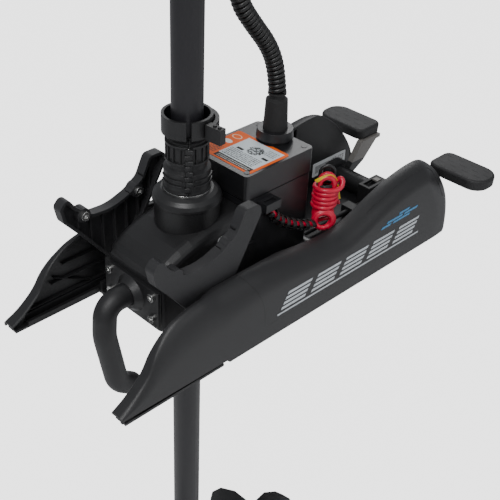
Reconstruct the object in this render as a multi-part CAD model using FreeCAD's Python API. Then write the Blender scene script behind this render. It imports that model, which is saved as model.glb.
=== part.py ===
"""Bow-mount electric trolling motor: deck mount, steering head, shaft, pod and foot pedal.

Millimetres, +Z up, -Y towards the bow.  Everything is drawn about the steering axis, the line
x = y = 0, with z = 0 on the deck.  Each sub-part is moved by -DECK_BOLT_Y when it is saved, so
that the origin is the centre of the four deck bolts on the underside of the deck plate.
"""
import FreeCAD
import Part
import math
import os

os.makedirs("parts", exist_ok=True)
V = FreeCAD.Vector

# ---- overall sizes
DECK_BOLT_Y = 200.0        # deck bolts' centre, behind the steering axis
HEAD_Z = 500.0             # underside of the motor head
POD_Z = -500.0             # axis of the drive pod
MOUNT_HALF = 100.0         # half width over the side covers

# ---- clearances
RUN = 0.06                 # radial running clearance of a shaft in its bush
GAP = 0.3                  # between pieces that move past each other
BACKLASH = 0.2             # taken off each gear tooth

# ---- deck frame
PLATE_T = 4.0
PLATE_HALF = 66.0
PLATE_Y = (50.0, 345.0)
BOLT_SPACING_X = 104.0
BOLT_SPACING_Y = 220.0
BOLT_HOLE_R = 4.25
RAIL_IN = 66.0
RAIL_OUT = 92.0
RAIL_TIP_IN = 84.5
RAIL_WEB_X = 79.5
RAIL_WEB_T = 3.0
RAIL_WEB_H = 16.0
RAIL_LIP_T = 3.0

# ---- side covers
COVER_WALL = 3.0
COVER_ROLL = 26.0          # height of the rounded shoulder
COVER_LEDGE = 3.0          # flat width along the inner top edge
COVER_TIP_LEDGE = 10.0
COVER_TOP = [(-170, 11), (-158, 18), (-145, 28), (-133, 40), (-125, 54), (-115, 66), (-104, 75),
             (-93, 81), (-75, 86), (-60, 88), (16, 89), (77, 82), (124, 77), (155, 77), (181, 86),
             (202, 98), (221, 103), (255, 107), (275, 111), (291, 111), (302, 105), (313, 97),
             (324, 89), (333, 80), (345, 66), (355, 52), (363, 38), (369, 22), (372, 8)]
COVER_INNER = [(-170, 84), (-60, 84), (-40, 78.8), (16, 78.8), (60, 75), (372, 75)]
COVER_END = [(-170, 0), (328, 0), (338, 1), (345, 4), (352, 8), (358, 12), (364, 16), (369, 20), (372, 23)]
COVER_LOWER_EDGE = [(-170, 9), (-40, 5), (-32, 0.6), (372, 0.6)]
COVER_SOLID_TIP = -161.0
COVER_SOLID_TAIL = 363.0
COVER_FEET = (-20.0, 90.0, 190.0, 290.0)
HUMP_PLATE_Y = 250.0
HUMP_PLATE_Z = 17.0
HUMP_PLATE_T = 2.5

# ---- cradle arms: y, z, corner radius
ARM_OUTLINE = [(-50, PLATE_T, 0), (-50, 52, 6), (-83, 93, 60), (-107, 121, 10), (-111, 139, 7),
               (-101, 149, 6), (-91, 134, 9), (-72, 118, 14), (-46, 116, 60), (-22, 124, 30),
               (-5, 135, 16), (6, 158, 7), (27, 158, 8), (29, 146, 6), (-12, 74, 8), (-12, PLATE_T, 0)]
ARM_SLITS = (-23.0, -4.0)
ARM_IN = 66.0
ARM_OUT = 78.0
ARM_WEB = 3.4
ARM_RIM = 3.5
ARM_BOSSES = [(-82, 121), (-11, 123)]
ARM_BOSS_R = 8.0
SCREW_R = 3.0
SCREW_HEAD_R = 5.0
SCREW_HEAD_T = 3.2

# ---- tilt axle
AXLE_Y = 144.0
AXLE_Z = 35.0
AXLE_R = 6.0
LUG_IN = 50.0
LUG_T = 6.0
BARREL_R = 12.0

# ---- steering drive
SHAFT_R = 16.0
SHAFT_WALL = 2.5
TUBE_BORE_R = 17.0
TUBE_R = 20.0
BUSH_R = 24.5
GEAR_MODULE = 1.25
OUTPUT_TEETH = 56
IDLER_SMALL_TEETH = 14
FAST_MODULE = 1.0
IDLER_LARGE_TEETH = 40
PINION_TEETH = 12
SLOW_GEAR_Z = (50.0, 62.0)
FAST_GEAR_Z = (66.0, 74.0)
PRESSURE_ANGLE = math.radians(25)
STUD_R = 4.0
MOTOR_R = 18.5
MOTOR_Z = (86.0, 132.0)
MOTOR_SHAFT_R = 2.5

# ---- steering housing
HOUSING_HALF = 43.0
HOUSING_WALL = 4.0
HOUSING_FRONT = -72.0
HOUSING_BOTTOM = 27.0
HOUSING_RIM = 82.0
REAR_HALF = 41.0
REAR_FRONT = 44.0
REAR_STEP = 58.0
REAR_BACK = 144.0
REAR_BOTTOM = 20.0
LID_Z = 135.5
LID_TOP = 164.0
LID_R = 5.0
LID_LAP = 0.8
BOARD_Z = (142.0, 143.6)
GASKET_T = 1.6
UPPER_TOP = [(-72, 84), (-70.5, 92), (-66, 98), (-56, 105), (-43, 111), (-28, 116), (-8, 120),
             (18, 123), (44, 126)]
UPPER_ROUND = 13.0
UPPER_WALL = 3.0
DOME_R = 34.0
DOME_TOP = 154.0
PLATE_FRONT_Z = (35.0, 78.0)
FRONT_PLATE_T = 5.0
PLATE_SCREWS = [(33.5, 69.5), (33.5, 43.0)]

# ---- pull handle: centre line y, z and corner radius
HANDLE_R = 12.5
HANDLE_LINE = [(-77, 58, 0), (-110, 58, 18), (-113, 20, 60), (-100, -50, 26), (-82, -63, 0)]

# ---- depth collar
COLLAR_Z = 155.8
COLLAR_TOP = 236.0
COLLAR_PROFILE = [(24.8, 155.8), (24.8, 158), (24.0, 158), (24.0, 178), (20.3, 180), (20.3, 187),
                  (22.4, 187),
                  (22.4, 189.5), (20.3, 189.5), (20.3, 206), (22.4, 206), (22.4, 208.5), (20.3, 208.5),
                  (20.3, 211), (25.7, 217), (25.7, 236)]
CROWN_BORE_R = 22.6
CROWN_FLOOR = 216.0
HINGE_ANGLE = math.radians(-38)
HINGE_AT = 22.6
KNUCKLE_R = 3.6
KNUCKLE_PIN_R = 1.5
KNUCKLE_Z = (160.0, 208.0)
KNUCKLES = 8
SPLIT = 0.6
LEVER_ANGLE = math.radians(142)
LEVER_AT = 31.5
LEVER_SWEEP = math.radians(-137)
LEVER_Z = (217.0, 231.0)
LEVER_BAND = (27.2, 31.5)

# ---- control box cord gland, boot and curly cord
GLAND_Y = 127.0
GLAND_R = 20.5
BOOT_PROFILE = [(13.4, 177.5), (11.8, 211), (8.2, 213), (8.2, 217), (10.0, 217), (10.0, 219)]
CURLY_R = 10.0
CURLY_LOWER = [(0, 127, 219), (0, 123.5, 246), (0, 110, 275), (0, 86, 303), (0, 64.5, 331), (0, 58.5, 358)]
CURLY_UPPER = [(0, 58.5, 358), (0, 54, 378.25), (0, 51, 424), (0, 51, 488)]
HEAD_GLAND_Y = 51.0
HEAD_GLAND_Z = 488.0

# ---- battery leads: spiral-wrapped run, then the tied hank
LEADS_R = 6.2
LEADS_ROUTE = [(49.6, 72, 118.6), (50.4, 79, 107.5), (52.2, 91, 97.5), (54.6, 104.5, 89.5),
               (57, 119, 83), (58.4, 133.5, 78.5)]
HANK_AXIS = [(58.5, 146, 76), (58, 150, 90), (57.6, 153, 106), (57.4, 154, 120), (57.2, 154.5, 131)]
HANK_R = [13.5, 15.2, 14.8, 11.5, 7.5]

# ---- foot pedal
PEDAL_Y = 326.0
PEDAL_TUBE_R = 13.0
PEDAL_CLEAR = 0.4          # tube above the deck plate
PEDAL_Z = PLATE_T + PEDAL_TUBE_R + PEDAL_CLEAR
PEDAL_TUBE_WALL = 2.5
PEDAL_TUBE_HALF = 72.0
PEDAL_BLOCK = (62.5, 74.0)
ARM_X = (50.5, 59.0)
ARM_T = 5.0
PAD_X = (53.0, 131.0)
PAD_Y = (352.0, 397.0)
PAD_Z = (61.0, 75.5)
PAD_END_R = 20.0
PAD_INNER_R = 11.0
LATCH_R = 3.0
LATCH_Z = 12.0
LUG_TOP = PEDAL_Z + 20.0
LATCH_BAR_Z = (PEDAL_Z + 15.0, PEDAL_Z + 19.0)
SPRING_X = (10.0, 40.0)

# ---- motor head
HEAD_HALF_X = 52.0
HEAD_Y = (-62.0, 92.0)
HEAD_SPLIT = HEAD_Z + 32.0
HEAD_TOP = HEAD_SPLIT + 42.0
HEAD_WALL = 3.0

# ---- drive pod
POD_R = 45.0
POD_WALL = 4.0
POD_Y = (-90.0, 90.0)
NOSE_Y = -152.0
TAIL_Y = 126.0
TAIL_R = 28.0
DRIVE_SHAFT_R = 5.0
ARMATURE_R = 32.0
MAGNET_R = (33.5, 40.8)
PROP_R = 112.0
PROP_HUB_R = 25.0
PROP_Y = (128.0, 172.0)
BLADES = 3
BLADE_TURN = 138.0         # where the first blade stands at rest, from straight up


# ---- small helpers
def box(x0, x1, y0, y1, z0, z1):
    return Part.makeBox(x1 - x0, y1 - y0, z1 - z0, V(x0, y0, z0))


def rod(start, axis, radius, length):
    return Part.makeCylinder(radius, length, V(*start), V(*axis))


def tube(start, axis, radius, bore, length):
    return rod(start, axis, radius, length).cut(rod(start, axis, bore, length))


def mirrored(shape):
    return shape.mirror(V(0, 0, 0), V(1, 0, 0))


def both_sides(shape):
    return [shape, mirrored(shape)]


def fused(shapes):
    body = shapes[0]
    for shape in shapes[1:]:
        body = body.fuse(shape)
    return body.removeSplitter()


def rounded_wire(points, radii, closed):
    """Straight runs joined by tangent arcs; an end point of an open wire has no arc."""
    count = len(points)
    edges = []
    last = None
    first = None
    for i in range(count):
        here = V(*points[i])
        radius = radii[i]
        if radius <= 0:
            start = end = here
            arc = None
        else:
            back = (V(*points[i - 1]) - here).normalize()
            ahead = (V(*points[(i + 1) % count]) - here).normalize()
            half = back.getAngle(ahead) / 2
            start = here + back * (radius / math.tan(half))
            end = here + ahead * (radius / math.tan(half))
            inward = (back + ahead).normalize()
            middle = here + inward * (radius / math.sin(half) - radius)
            arc = Part.Arc(start, middle, end).toShape()
        if last is not None and last.distanceToPoint(start) > 1e-6:
            edges.append(Part.makeLine(last, start))
        if arc is not None:
            edges.append(arc)
        if first is None:
            first = start
        last = end
    if closed and last.distanceToPoint(first) > 1e-6:
        edges.append(Part.makeLine(last, first))
    return Part.Wire(edges)


def side_prism(outline, x0, x1):
    """A solid with a y-z outline, each point with its corner radius, between two x planes."""
    points = [(x0, y, z) for y, z, _ in outline]
    wire = rounded_wire(points, [r for _, _, r in outline], True)
    return Part.Face(wire).extrude(V(x1 - x0, 0, 0))


def plan_prism(x0, x1, y0, y1, z0, z1, radius):
    """An upright block with rounded vertical corners."""
    points = [(x0, y0, z0), (x1, y0, z0), (x1, y1, z0), (x0, y1, z0)]
    wire = rounded_wire(points, [radius] * 4, True)
    return Part.Face(wire).extrude(V(0, 0, z1 - z0))


def turned(profile, centre=(0, 0)):
    """A closed r-z profile revolved about a vertical axis."""
    points = [V(centre[0] + r, centre[1], z) for r, z in profile]
    face = Part.Face(Part.makePolygon(points + [points[0]]))
    return face.revolve(V(centre[0], centre[1], 0), V(0, 0, 1), 360)


def turned_along_y(profile, z):
    """A closed r-y profile revolved about the pod's axis."""
    points = [V(r, y, z) for r, y in profile]
    face = Part.Face(Part.makePolygon(points + [points[0]]))
    return face.revolve(V(0, 0, z), V(0, 1, 0), 360)


def loft(sections):
    """A ruled solid through closed sections of equal point counts."""
    wires = [Part.makePolygon([V(*p) for p in s] + [V(*s[0])]) for s in sections]
    return Part.makeLoft(wires, True, True)


def along(table, y):
    """Straight-line reading of a table of (y, value) pairs."""
    for (y0, v0), (y1, v1) in zip(table, table[1:]):
        if y <= y1:
            return v0 + (v1 - v0) * (y - y0) / (y1 - y0)
    return table[-1][1]


def gear_solid(module, teeth, z_range, bore, centre, first_tooth):
    """Spur gear with involute flanks; first_tooth is the direction of one tooth's middle."""
    pitch = module * teeth / 2
    base = pitch * math.cos(PRESSURE_ANGLE)
    tip = pitch + 0.8 * module
    root = pitch - 1.05 * module
    half_pitch = math.pi / (2 * teeth) - BACKLASH / (2 * pitch)
    lean = math.tan(PRESSURE_ANGLE) - PRESSURE_ANGLE

    def half_angle(radius):
        if radius <= base:
            return half_pitch + lean
        roll = math.acos(base / radius)
        return half_pitch + lean - (math.tan(roll) - roll)

    flank = [max(base, root) + (tip - max(base, root)) * k / 4 for k in range(5)]
    if root < base:
        flank.insert(0, root)
    points = []
    for tooth in range(teeth):
        middle = first_tooth + 2 * math.pi * tooth / teeth
        for radius in flank:
            points.append((radius, middle - half_angle(radius)))
        for radius in reversed(flank):
            points.append((radius, middle + half_angle(radius)))
    ring = [V(centre[0] + r * math.cos(a), centre[1] + r * math.sin(a), z_range[0]) for r, a in points]
    face = Part.Face(Part.makePolygon(ring + [ring[0]]))
    body = face.extrude(V(0, 0, z_range[1] - z_range[0]))
    return body.cut(rod((centre[0], centre[1], z_range[0]), (0, 0, 1), bore, z_range[1] - z_range[0]))


def cord_tube(name, route, radius):
    """A plain tube along a route: straight runs joined by the largest arcs that they allow."""
    radii = [0.0]
    for i in range(1, len(route) - 1):
        back = V(*route[i - 1]) - V(*route[i])
        ahead = V(*route[i + 1]) - V(*route[i])
        turn = math.pi - back.getAngle(ahead)
        radii.append(0.45 * min(back.Length, ahead.Length) / math.tan(turn / 2))
    radii.append(0.0)
    print(name, "radii", [round(r, 1) for r in radii[1:-1]])
    path = rounded_wire(route, radii, False)
    direction = V(*route[1]) - V(*route[0])
    profile = Part.Wire(Part.makeCircle(radius, V(*route[0]), direction))
    solid = path.makePipeShell([profile], True, True)
    print(name, "volume ratio", round(solid.Volume / (math.pi * radius ** 2 * path.Length), 4))
    return solid


def save(name, shapes):
    """Write one sub-part, moved so that the deck bolts' centre is the origin."""
    if not isinstance(shapes, list):
        shapes = [shapes]
    solids = []
    for shape in shapes:
        solids.extend(shape.Solids)
    body = solids[0] if len(solids) == 1 else Part.makeCompound(solids)
    body = body.copy()
    body.translate(V(0, -DECK_BOLT_Y, 0))
    for solid in body.Solids:
        if not solid.isValid() or solid.Volume <= 0:
            print("BAD SOLID in", name)
    body.exportStep("parts/" + name + ".step")


# ---- deck frame
def bolt_centres():
    return [(sx * BOLT_SPACING_X / 2, DECK_BOLT_Y + sy * BOLT_SPACING_Y / 2) for sx in (-1,
            1) for sy in (-1, 1)]


def deck_plate():
    plate = box(-PLATE_HALF, PLATE_HALF, PLATE_Y[0], PLATE_Y[1], 0, PLATE_T)
    for x, y in bolt_centres():
        plate = plate.cut(rod((x, y, 0), (0, 0, 1), BOLT_HOLE_R, PLATE_T))
    window = box(SPRING_X[0] - 2, SPRING_X[1] + 2, PEDAL_Y - 14, PEDAL_Y + 14, 0, PLATE_T)
    return plate.cut(window)


def rail():
    flange = box(RAIL_IN, RAIL_OUT, -56, PLATE_Y[1], 0, PLATE_T)
    web = box(RAIL_WEB_X, RAIL_WEB_X + RAIL_WEB_T, -56, PLATE_Y[1], PLATE_T, RAIL_WEB_H)
    tip = box(RAIL_TIP_IN, MOUNT_HALF - 0.5, -166, -38, 0, RAIL_LIP_T)
    ledge = box(RAIL_TIP_IN, RAIL_TIP_IN + 4, -150, -56, RAIL_LIP_T, 7)
    lip = box(RAIL_OUT, RAIL_OUT + 4, -149, -38, RAIL_LIP_T, 12)
    return fused([flange, web, tip, ledge, lip])


def pivot_lug():
    outline = [(128, PLATE_T, 0), (128, 38, 10), (138, 50, 10), (150, 50, 10), (160, 38, 10),
               (160, PLATE_T, 0)]
    lug = side_prism(outline, LUG_IN, LUG_IN + LUG_T)
    foot = box(LUG_IN + LUG_T, LUG_IN + LUG_T + 9, 128, 160, PLATE_T, PLATE_T + 4)
    return fused([lug, foot]).cut(rod((LUG_IN, AXLE_Y, AXLE_Z), (1, 0, 0), AXLE_R, LUG_T))


def tilt_axle():
    length = 2 * (LUG_IN + LUG_T + 6)
    pin = rod((-length / 2, AXLE_Y, AXLE_Z), (1, 0, 0), AXLE_R, length)
    nut = tube((LUG_IN + LUG_T, AXLE_Y, AXLE_Z), (1, 0, 0), 10, AXLE_R, 5)
    return [pin] + both_sides(nut)


def pedal_block():
    half = PEDAL_TUBE_R + 5
    outline = [(PEDAL_Y - half, PLATE_T, 0), (PEDAL_Y - half, PEDAL_Z + half, 12),
               (PEDAL_Y + half, PEDAL_Z + half, 12), (PEDAL_Y + half, PLATE_T, 0)]
    block = side_prism(outline, PEDAL_BLOCK[0], PEDAL_BLOCK[1])
    bore = rod((PEDAL_BLOCK[0], PEDAL_Y, PEDAL_Z), (1, 0, 0), PEDAL_TUBE_R + RUN,
               PEDAL_BLOCK[1] - PEDAL_BLOCK[0])
    return block.cut(bore)


def stop_bumper():
    return plan_prism(16, 34, 64, 82, PLATE_T, REAR_BOTTOM - GAP, 4)


# ---- side covers
def cover_outline(y, inset):
    """Inner top edge, rounded shoulder and outer wall of the right-hand cover at y."""
    top = along(COVER_TOP, y)
    foot = along(COVER_LOWER_EDGE, y)
    inner = along(COVER_INNER, y)
    outer = MOUNT_HALF - along(COVER_END, y)
    tail = min(max((y - 291) / 54, 0), 1)
    roll = min(COVER_ROLL, 0.55 * (top - foot)) * (1 - tail) + (top - foot - 0.5) * tail
    ledge = COVER_LEDGE + (COVER_TIP_LEDGE - COVER_LEDGE) * min(max((-104 - y) / 30, 0), 1)
    ledge = ledge * (1 - tail) + 0.4 * tail
    span = outer - inner - ledge - inset
    rise = max(roll - inset, 1)
    points = [(inner, y, top - inset)]
    for k in range(7):
        angle = math.pi / 2 * k / 6
        x = inner + ledge + span * math.sin(angle)
        z = top - roll + rise * math.cos(angle)
        points.append((x, y, z))
    points.append((outer - inset, y, foot))
    return points


def solid_slice(y):
    section = cover_outline(y, 0)
    return section + [(section[0][0], y, section[-1][2])]


def side_cover():
    """An open C-section shell, closed at its tip and tail and along the hump's inner side."""
    stations = [y for y, _ in COVER_TOP if COVER_SOLID_TIP < y < COVER_SOLID_TAIL]
    stations = sorted(stations + [COVER_SOLID_TIP, -40, -32, 60, COVER_SOLID_TAIL])
    shell = loft([cover_outline(y, 0) + cover_outline(y, COVER_WALL)[::-1] for y in stations])
    tip = loft([solid_slice(y) for y in (COVER_TOP[0][0], COVER_SOLID_TIP)])
    tail = loft([solid_slice(y) for y in (COVER_SOLID_TAIL, 369, COVER_TOP[-1][0])])
    outline = [(HUMP_PLATE_Y, HUMP_PLATE_Z, 0)]
    for y in (HUMP_PLATE_Y, 275, 291, 302, 324, 345, 355, COVER_SOLID_TAIL):
        outline.append((y, along(COVER_TOP, y) - COVER_WALL / 2, 0))
    outline.append((COVER_SOLID_TAIL, HUMP_PLATE_Z, 0))
    plate = side_prism(outline, 75, 75 + HUMP_PLATE_T)
    ribs = [box(95, 98.3, -104, -58, z, z + 1.6) for z in (14, 34)]
    feet = [box(RAIL_OUT - 7, 98, y, y + 14, PLATE_T, PLATE_T + 5) for y in COVER_FEET]
    body = shell
    for piece in [tip, tail, plate] + ribs + feet:
        body = body.fuse(piece)
    return body


# ---- cradle arms
def cradle_arm():
    body = side_prism(ARM_OUTLINE, ARM_IN, ARM_OUT)
    face = Part.Face(rounded_wire([(ARM_IN, y, z) for y, z, _ in ARM_OUTLINE],
                                  [r for _, _, r in ARM_OUTLINE], True))
    inner_face = face.makeOffset2D(-ARM_RIM)
    recess = inner_face.extrude(V(ARM_OUT - ARM_IN - ARM_WEB, 0, 0))
    ribs = []
    for y in range(-88, 30, 16):
        ribs.append(box(ARM_IN + 4, ARM_OUT - ARM_WEB, y, y + 1.6, 10, 160).common(recess))
    body = body.cut(recess)
    bosses = [rod((ARM_IN, y, z), (1, 0, 0), ARM_BOSS_R, ARM_OUT - ARM_IN) for y, z in ARM_BOSSES]
    body = fused([body] + ribs + bosses)
    for y in ARM_SLITS:
        body = body.cut(box(ARM_IN, ARM_OUT - ARM_WEB, y, y + 1.3, ARM_BOSSES[1][1] - 6, 150))
    for y, z in ARM_BOSSES:
        body = body.cut(rod((ARM_IN, y, z), (1, 0, 0), SCREW_R, ARM_OUT - ARM_IN - 2))
    return body


def button_screw(x, y, z, length):
    head = rod((x - SCREW_HEAD_T, y, z), (1, 0, 0), SCREW_HEAD_R, SCREW_HEAD_T)
    shank = rod((x, y, z), (1, 0, 0), SCREW_R, length)
    socket = rod((x - SCREW_HEAD_T, y, z), (1, 0, 0), 2, 1.8)
    return fused([head, shank]).cut(socket)


def frame_screws():
    screws = []
    for y, z in ARM_BOSSES:
        screws += both_sides(button_screw(ARM_IN, y, z, ARM_OUT - ARM_IN - 2))
    return screws


def rating_label():
    return side_prism([(287, 21, 2), (287, 41, 2), (352, 41, 2), (352, 21, 2)], -75, -74.7)


# ---- steering housing (swings on the tilt axle)
def idler_y():
    return GEAR_MODULE * (OUTPUT_TEETH + IDLER_SMALL_TEETH) / 2


def motor_y():
    return idler_y() + FAST_MODULE * (IDLER_LARGE_TEETH + PINION_TEETH) / 2


def lower_housing():
    outer = plan_prism(-HOUSING_HALF, HOUSING_HALF, HOUSING_FRONT, REAR_STEP, HOUSING_BOTTOM,
                       HOUSING_RIM, 6)
    square = box(-HOUSING_HALF, HOUSING_HALF, REAR_STEP - 10, REAR_STEP, HOUSING_BOTTOM, HOUSING_RIM)
    wall = HOUSING_WALL
    inside = box(-HOUSING_HALF + wall, HOUSING_HALF - wall, HOUSING_FRONT + wall, REAR_STEP,
                 HOUSING_BOTTOM + wall, HOUSING_RIM)
    boss = rod((0, 0, HOUSING_BOTTOM - 15), (0, 0, 1), BUSH_R + 4, 22)
    body = fused([outer, square]).cut(inside)
    body = fused([body, boss])
    body = body.cut(rod((0, 0, 0), (0, 0, 1), BUSH_R, HOUSING_BOTTOM + 10))
    foot = rod((0, idler_y(), HOUSING_BOTTOM + 2), (0, 0, 1), 8, 16)
    stud = rod((0, idler_y(), HOUSING_BOTTOM + 18), (0, 0, 1), STUD_R, 31)
    body = fused([body, foot, stud])
    for x, z in PLATE_SCREWS:
        for side in (-1, 1):
            body = body.cut(rod((side * x, HOUSING_FRONT, z), (0, 1, 0), SCREW_R, wall))
    return body


def upper_outline(y, inset):
    """Left foot, over the rounded top, to the right foot of the upper housing at y."""
    top = along(UPPER_TOP, y) - inset
    half = HOUSING_HALF - inset - 5 * min(max((-66 - y) / 6, 0), 1)
    radius = min(UPPER_ROUND - inset / 2, top - HOUSING_RIM)
    right = [(half, y, HOUSING_RIM)]
    for k in range(7):
        angle = math.pi / 2 * k / 6
        right.append((half - radius + radius * math.cos(angle), y,
                      top - radius + radius * math.sin(angle)))
    return [(-x, yy, z) for x, yy, z in right] + right[::-1]


def upper_housing():
    stations = [y for y, _ in UPPER_TOP]
    front = loft([upper_outline(y, 0) for y in stations[:3]])
    arch = loft([upper_outline(y, 0) + upper_outline(y, UPPER_WALL)[::-1] for y in stations[2:]])
    return front.fuse(arch).cut(rod((0, 0, HOUSING_RIM), (0, 0, 1), DOME_R, 60))


def dome_cover():
    neck = TUBE_R + 6
    profile = [(DOME_R, 100), (DOME_R, 140), (36, 141.5), (36, 144), (34.8, 148), (31.5, 151.5),
               (27, DOME_TOP),
               (BUSH_R, DOME_TOP), (BUSH_R, 128), (neck + 4, 128), (neck + 4, 100)]
    return turned(profile)


def dome_ring():
    return tube((0, 0, DOME_TOP), (0, 0, 1), 24.6, TUBE_R + GAP, 1.2)


def shaft_bushes():
    lower = tube((0, 0, HOUSING_BOTTOM - 15), (0, 0, 1), BUSH_R, TUBE_R + RUN, 24)
    upper = tube((0, 0, 128), (0, 0, 1), BUSH_R, TUBE_R + RUN, DOME_TOP - 128)
    return [lower, upper]


def front_plate():
    plate = plan_prism(-HOUSING_HALF, HOUSING_HALF, HOUSING_FRONT - FRONT_PLATE_T, HOUSING_FRONT,
                       PLATE_FRONT_Z[0], PLATE_FRONT_Z[1], 2)
    flare = Part.makeCone(HANDLE_R + 8, HANDLE_R + 2, 7, V(0, HOUSING_FRONT - FRONT_PLATE_T, 57),
                          V(0, -1, 0))
    flare = flare.common(box(-30, 30, -90, HOUSING_FRONT, PLATE_FRONT_Z[0], PLATE_FRONT_Z[1]))
    body = fused([plate, flare])
    start = HANDLE_LINE[0]
    body = body.cut(rod((0, start[0] - 30, start[1]), (0, 1, 0), HANDLE_R, 30))
    for x, z in PLATE_SCREWS:
        for side in (-1, 1):
            body = body.cut(rod((side * x, HOUSING_FRONT - FRONT_PLATE_T, z), (0, 1, 0), SCREW_R,
                                FRONT_PLATE_T))
    return body


def pull_handle():
    points = [(0, y, z) for y, z, _ in HANDLE_LINE]
    path = rounded_wire(points, [r for _, _, r in HANDLE_LINE], False)
    profile = Part.Wire(Part.makeCircle(HANDLE_R, V(*points[0]), V(0, 1, 0)))
    grip = path.makePipeShell([profile], True, True)
    end = Part.makeSphere(HANDLE_R, V(*points[-1]))
    return fused([grip, end])


def plate_screws():
    screws = []
    for x, z in PLATE_SCREWS:
        y = HOUSING_FRONT - FRONT_PLATE_T
        head = rod((x, y - 2.4, z), (0, 1, 0), 4.4, 2.4).cut(rod((x, y - 2.4, z), (0, 1, 0), 1.8, 1.4))
        shank = rod((x, y, z), (0, 1, 0), SCREW_R, FRONT_PLATE_T + HOUSING_WALL)
        screws += both_sides(fused([head, shank]))
    return screws


def rear_housing():
    back = plan_prism(-REAR_HALF, REAR_HALF, REAR_STEP - 10, REAR_BACK, REAR_BOTTOM, LID_Z - GASKET_T,
                      LID_R)
    back = back.cut(box(-50, 50, 0, REAR_STEP, 0, HOUSING_RIM))
    front = plan_prism(-REAR_HALF, REAR_HALF, REAR_FRONT, REAR_BACK, HOUSING_RIM, LID_Z - GASKET_T, LID_R)
    wall = HOUSING_WALL
    inside = box(-REAR_HALF + wall, REAR_HALF - wall, REAR_FRONT + wall, REAR_BACK - wall,
                 HOUSING_RIM + wall, LID_Z)
    pit = box(-REAR_HALF + wall, REAR_HALF - wall, REAR_STEP, REAR_BACK - wall, REAR_BOTTOM + wall,
              HOUSING_RIM)
    well = rod((0, motor_y(), HOUSING_RIM - 1), (0, 0, 1), 9, wall + 2)
    opening = box(-25, 25, REAR_FRONT, motor_y(), HOUSING_RIM - 20, HOUSING_RIM)
    barrel = rod((-LUG_IN + GAP, AXLE_Y, AXLE_Z), (1, 0, 0), BARREL_R, 2 * (LUG_IN - GAP))
    body = fused([back, front]).cut(inside).cut(pit).cut(well).cut(opening)
    body = fused([body, barrel])
    body = body.cut(rod((-LUG_IN, AXLE_Y, AXLE_Z), (1, 0, 0), AXLE_R + 3, 2 * LUG_IN))
    keeper = box(-9, 9, 84, 92, REAR_BOTTOM - 13, REAR_BOTTOM)
    keeper = keeper.cut(rod((0, 84, LATCH_Z), (0, 1, 0), LATCH_R + 0.5, 8))
    return fused([body, keeper])


def pivot_bushes():
    bush = tube((LUG_IN - GAP - 18, AXLE_Y, AXLE_Z), (1, 0, 0), AXLE_R + 3, AXLE_R + RUN, 18)
    return both_sides(bush)


def lid_gasket():
    ring = plan_prism(-REAR_HALF + 1.5, REAR_HALF - 1.5, REAR_FRONT + 1.5, REAR_BACK - 1.5,
                      LID_Z - GASKET_T, LID_Z, LID_R - 1.5)
    inner = box(-REAR_HALF + 4, REAR_HALF - 4, REAR_FRONT + 4, REAR_BACK - 4, LID_Z - 2, LID_Z + 1)
    return ring.cut(inner)


def box_lid():
    lap = LID_LAP
    body = plan_prism(-REAR_HALF - lap, REAR_HALF + lap, REAR_FRONT - lap, REAR_BACK + lap, LID_Z,
                      LID_TOP, LID_R)
    body = body.cut(box(-REAR_HALF + 3, REAR_HALF - 3, REAR_FRONT + 3, REAR_BACK - 3, LID_Z, LID_TOP - 3))
    body = body.cut(rod((0, GLAND_Y, LID_TOP - 3), (0, 0, 1), 9, 3))
    posts = [rod((x, y, BOARD_Z[1]), (0, 0, 1), 3, LID_TOP - 3 - BOARD_Z[1]) for x in (-32,
            32) for y in (54, 134)]
    return fused([body] + posts)


def lid_label():
    film = plan_prism(-38, 38, 50, 111, LID_TOP, LID_TOP + 0.3, 4)
    for plug in lid_plugs():
        film = film.cut(plug)
    return film.cut(rod((0, GLAND_Y, LID_TOP), (0, 0, 1), GLAND_R, 1))


def lid_plugs():
    plugs = []
    for y in (REAR_FRONT + 7, REAR_BACK - 7):
        plugs += both_sides(rod((REAR_HALF - 7, y, LID_TOP), (0, 0, 1), 3.2, 0.4))
    return plugs


def control_board():
    board = box(-36, 36, 50, 138, BOARD_Z[0], BOARD_Z[1])
    top = BOARD_Z[1]
    chips = [box(-30, -18, 60, 72, top, top + 4), box(8, 27, 60, 68, top, top + 7),
             rod((22, 90, top), (0, 0, 1), 5, 9)]
    return fused([board] + chips)


def cord_gland():
    profile = [(9, LID_TOP - 6), (9, LID_TOP), (17, LID_TOP), (17, LID_TOP + 2), (GLAND_R, LID_TOP + 4),
               (GLAND_R - 1, LID_TOP + 13.5), (6, LID_TOP + 13.5), (6, LID_TOP - 6)]
    return turned(profile, (0, GLAND_Y))


def cord_boot():
    profile = BOOT_PROFILE + [(5, BOOT_PROFILE[-1][1]), (5, BOOT_PROFILE[0][1])]
    return turned(profile, (0, GLAND_Y))


def steering_motor():
    can = rod((0, motor_y(), MOTOR_Z[0]), (0, 0, 1), MOTOR_R, MOTOR_Z[1] - MOTOR_Z[0])
    hollow = rod((0, motor_y(), MOTOR_Z[0] + 3), (0, 0, 1), 15.5, MOTOR_Z[1] - MOTOR_Z[0] - 6)
    bore = rod((0, motor_y(), MOTOR_Z[0]), (0, 0, 1), MOTOR_SHAFT_R + RUN, 8)
    return can.cut(hollow).cut(bore)


def motor_pinion():
    spindle = rod((0, motor_y(), FAST_GEAR_Z[0]), (0, 0, 1), MOTOR_SHAFT_R,
                  MOTOR_Z[1] - 4 - FAST_GEAR_Z[0])
    drum = rod((0, motor_y(), MOTOR_Z[0] + 6), (0, 0, 1), 14.5, 32)
    facing = -math.pi / 2 - math.pi / PINION_TEETH
    teeth = gear_solid(FAST_MODULE, PINION_TEETH, FAST_GEAR_Z, 1.0, (0, motor_y()), facing)
    return fused([spindle, drum, teeth])


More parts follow.
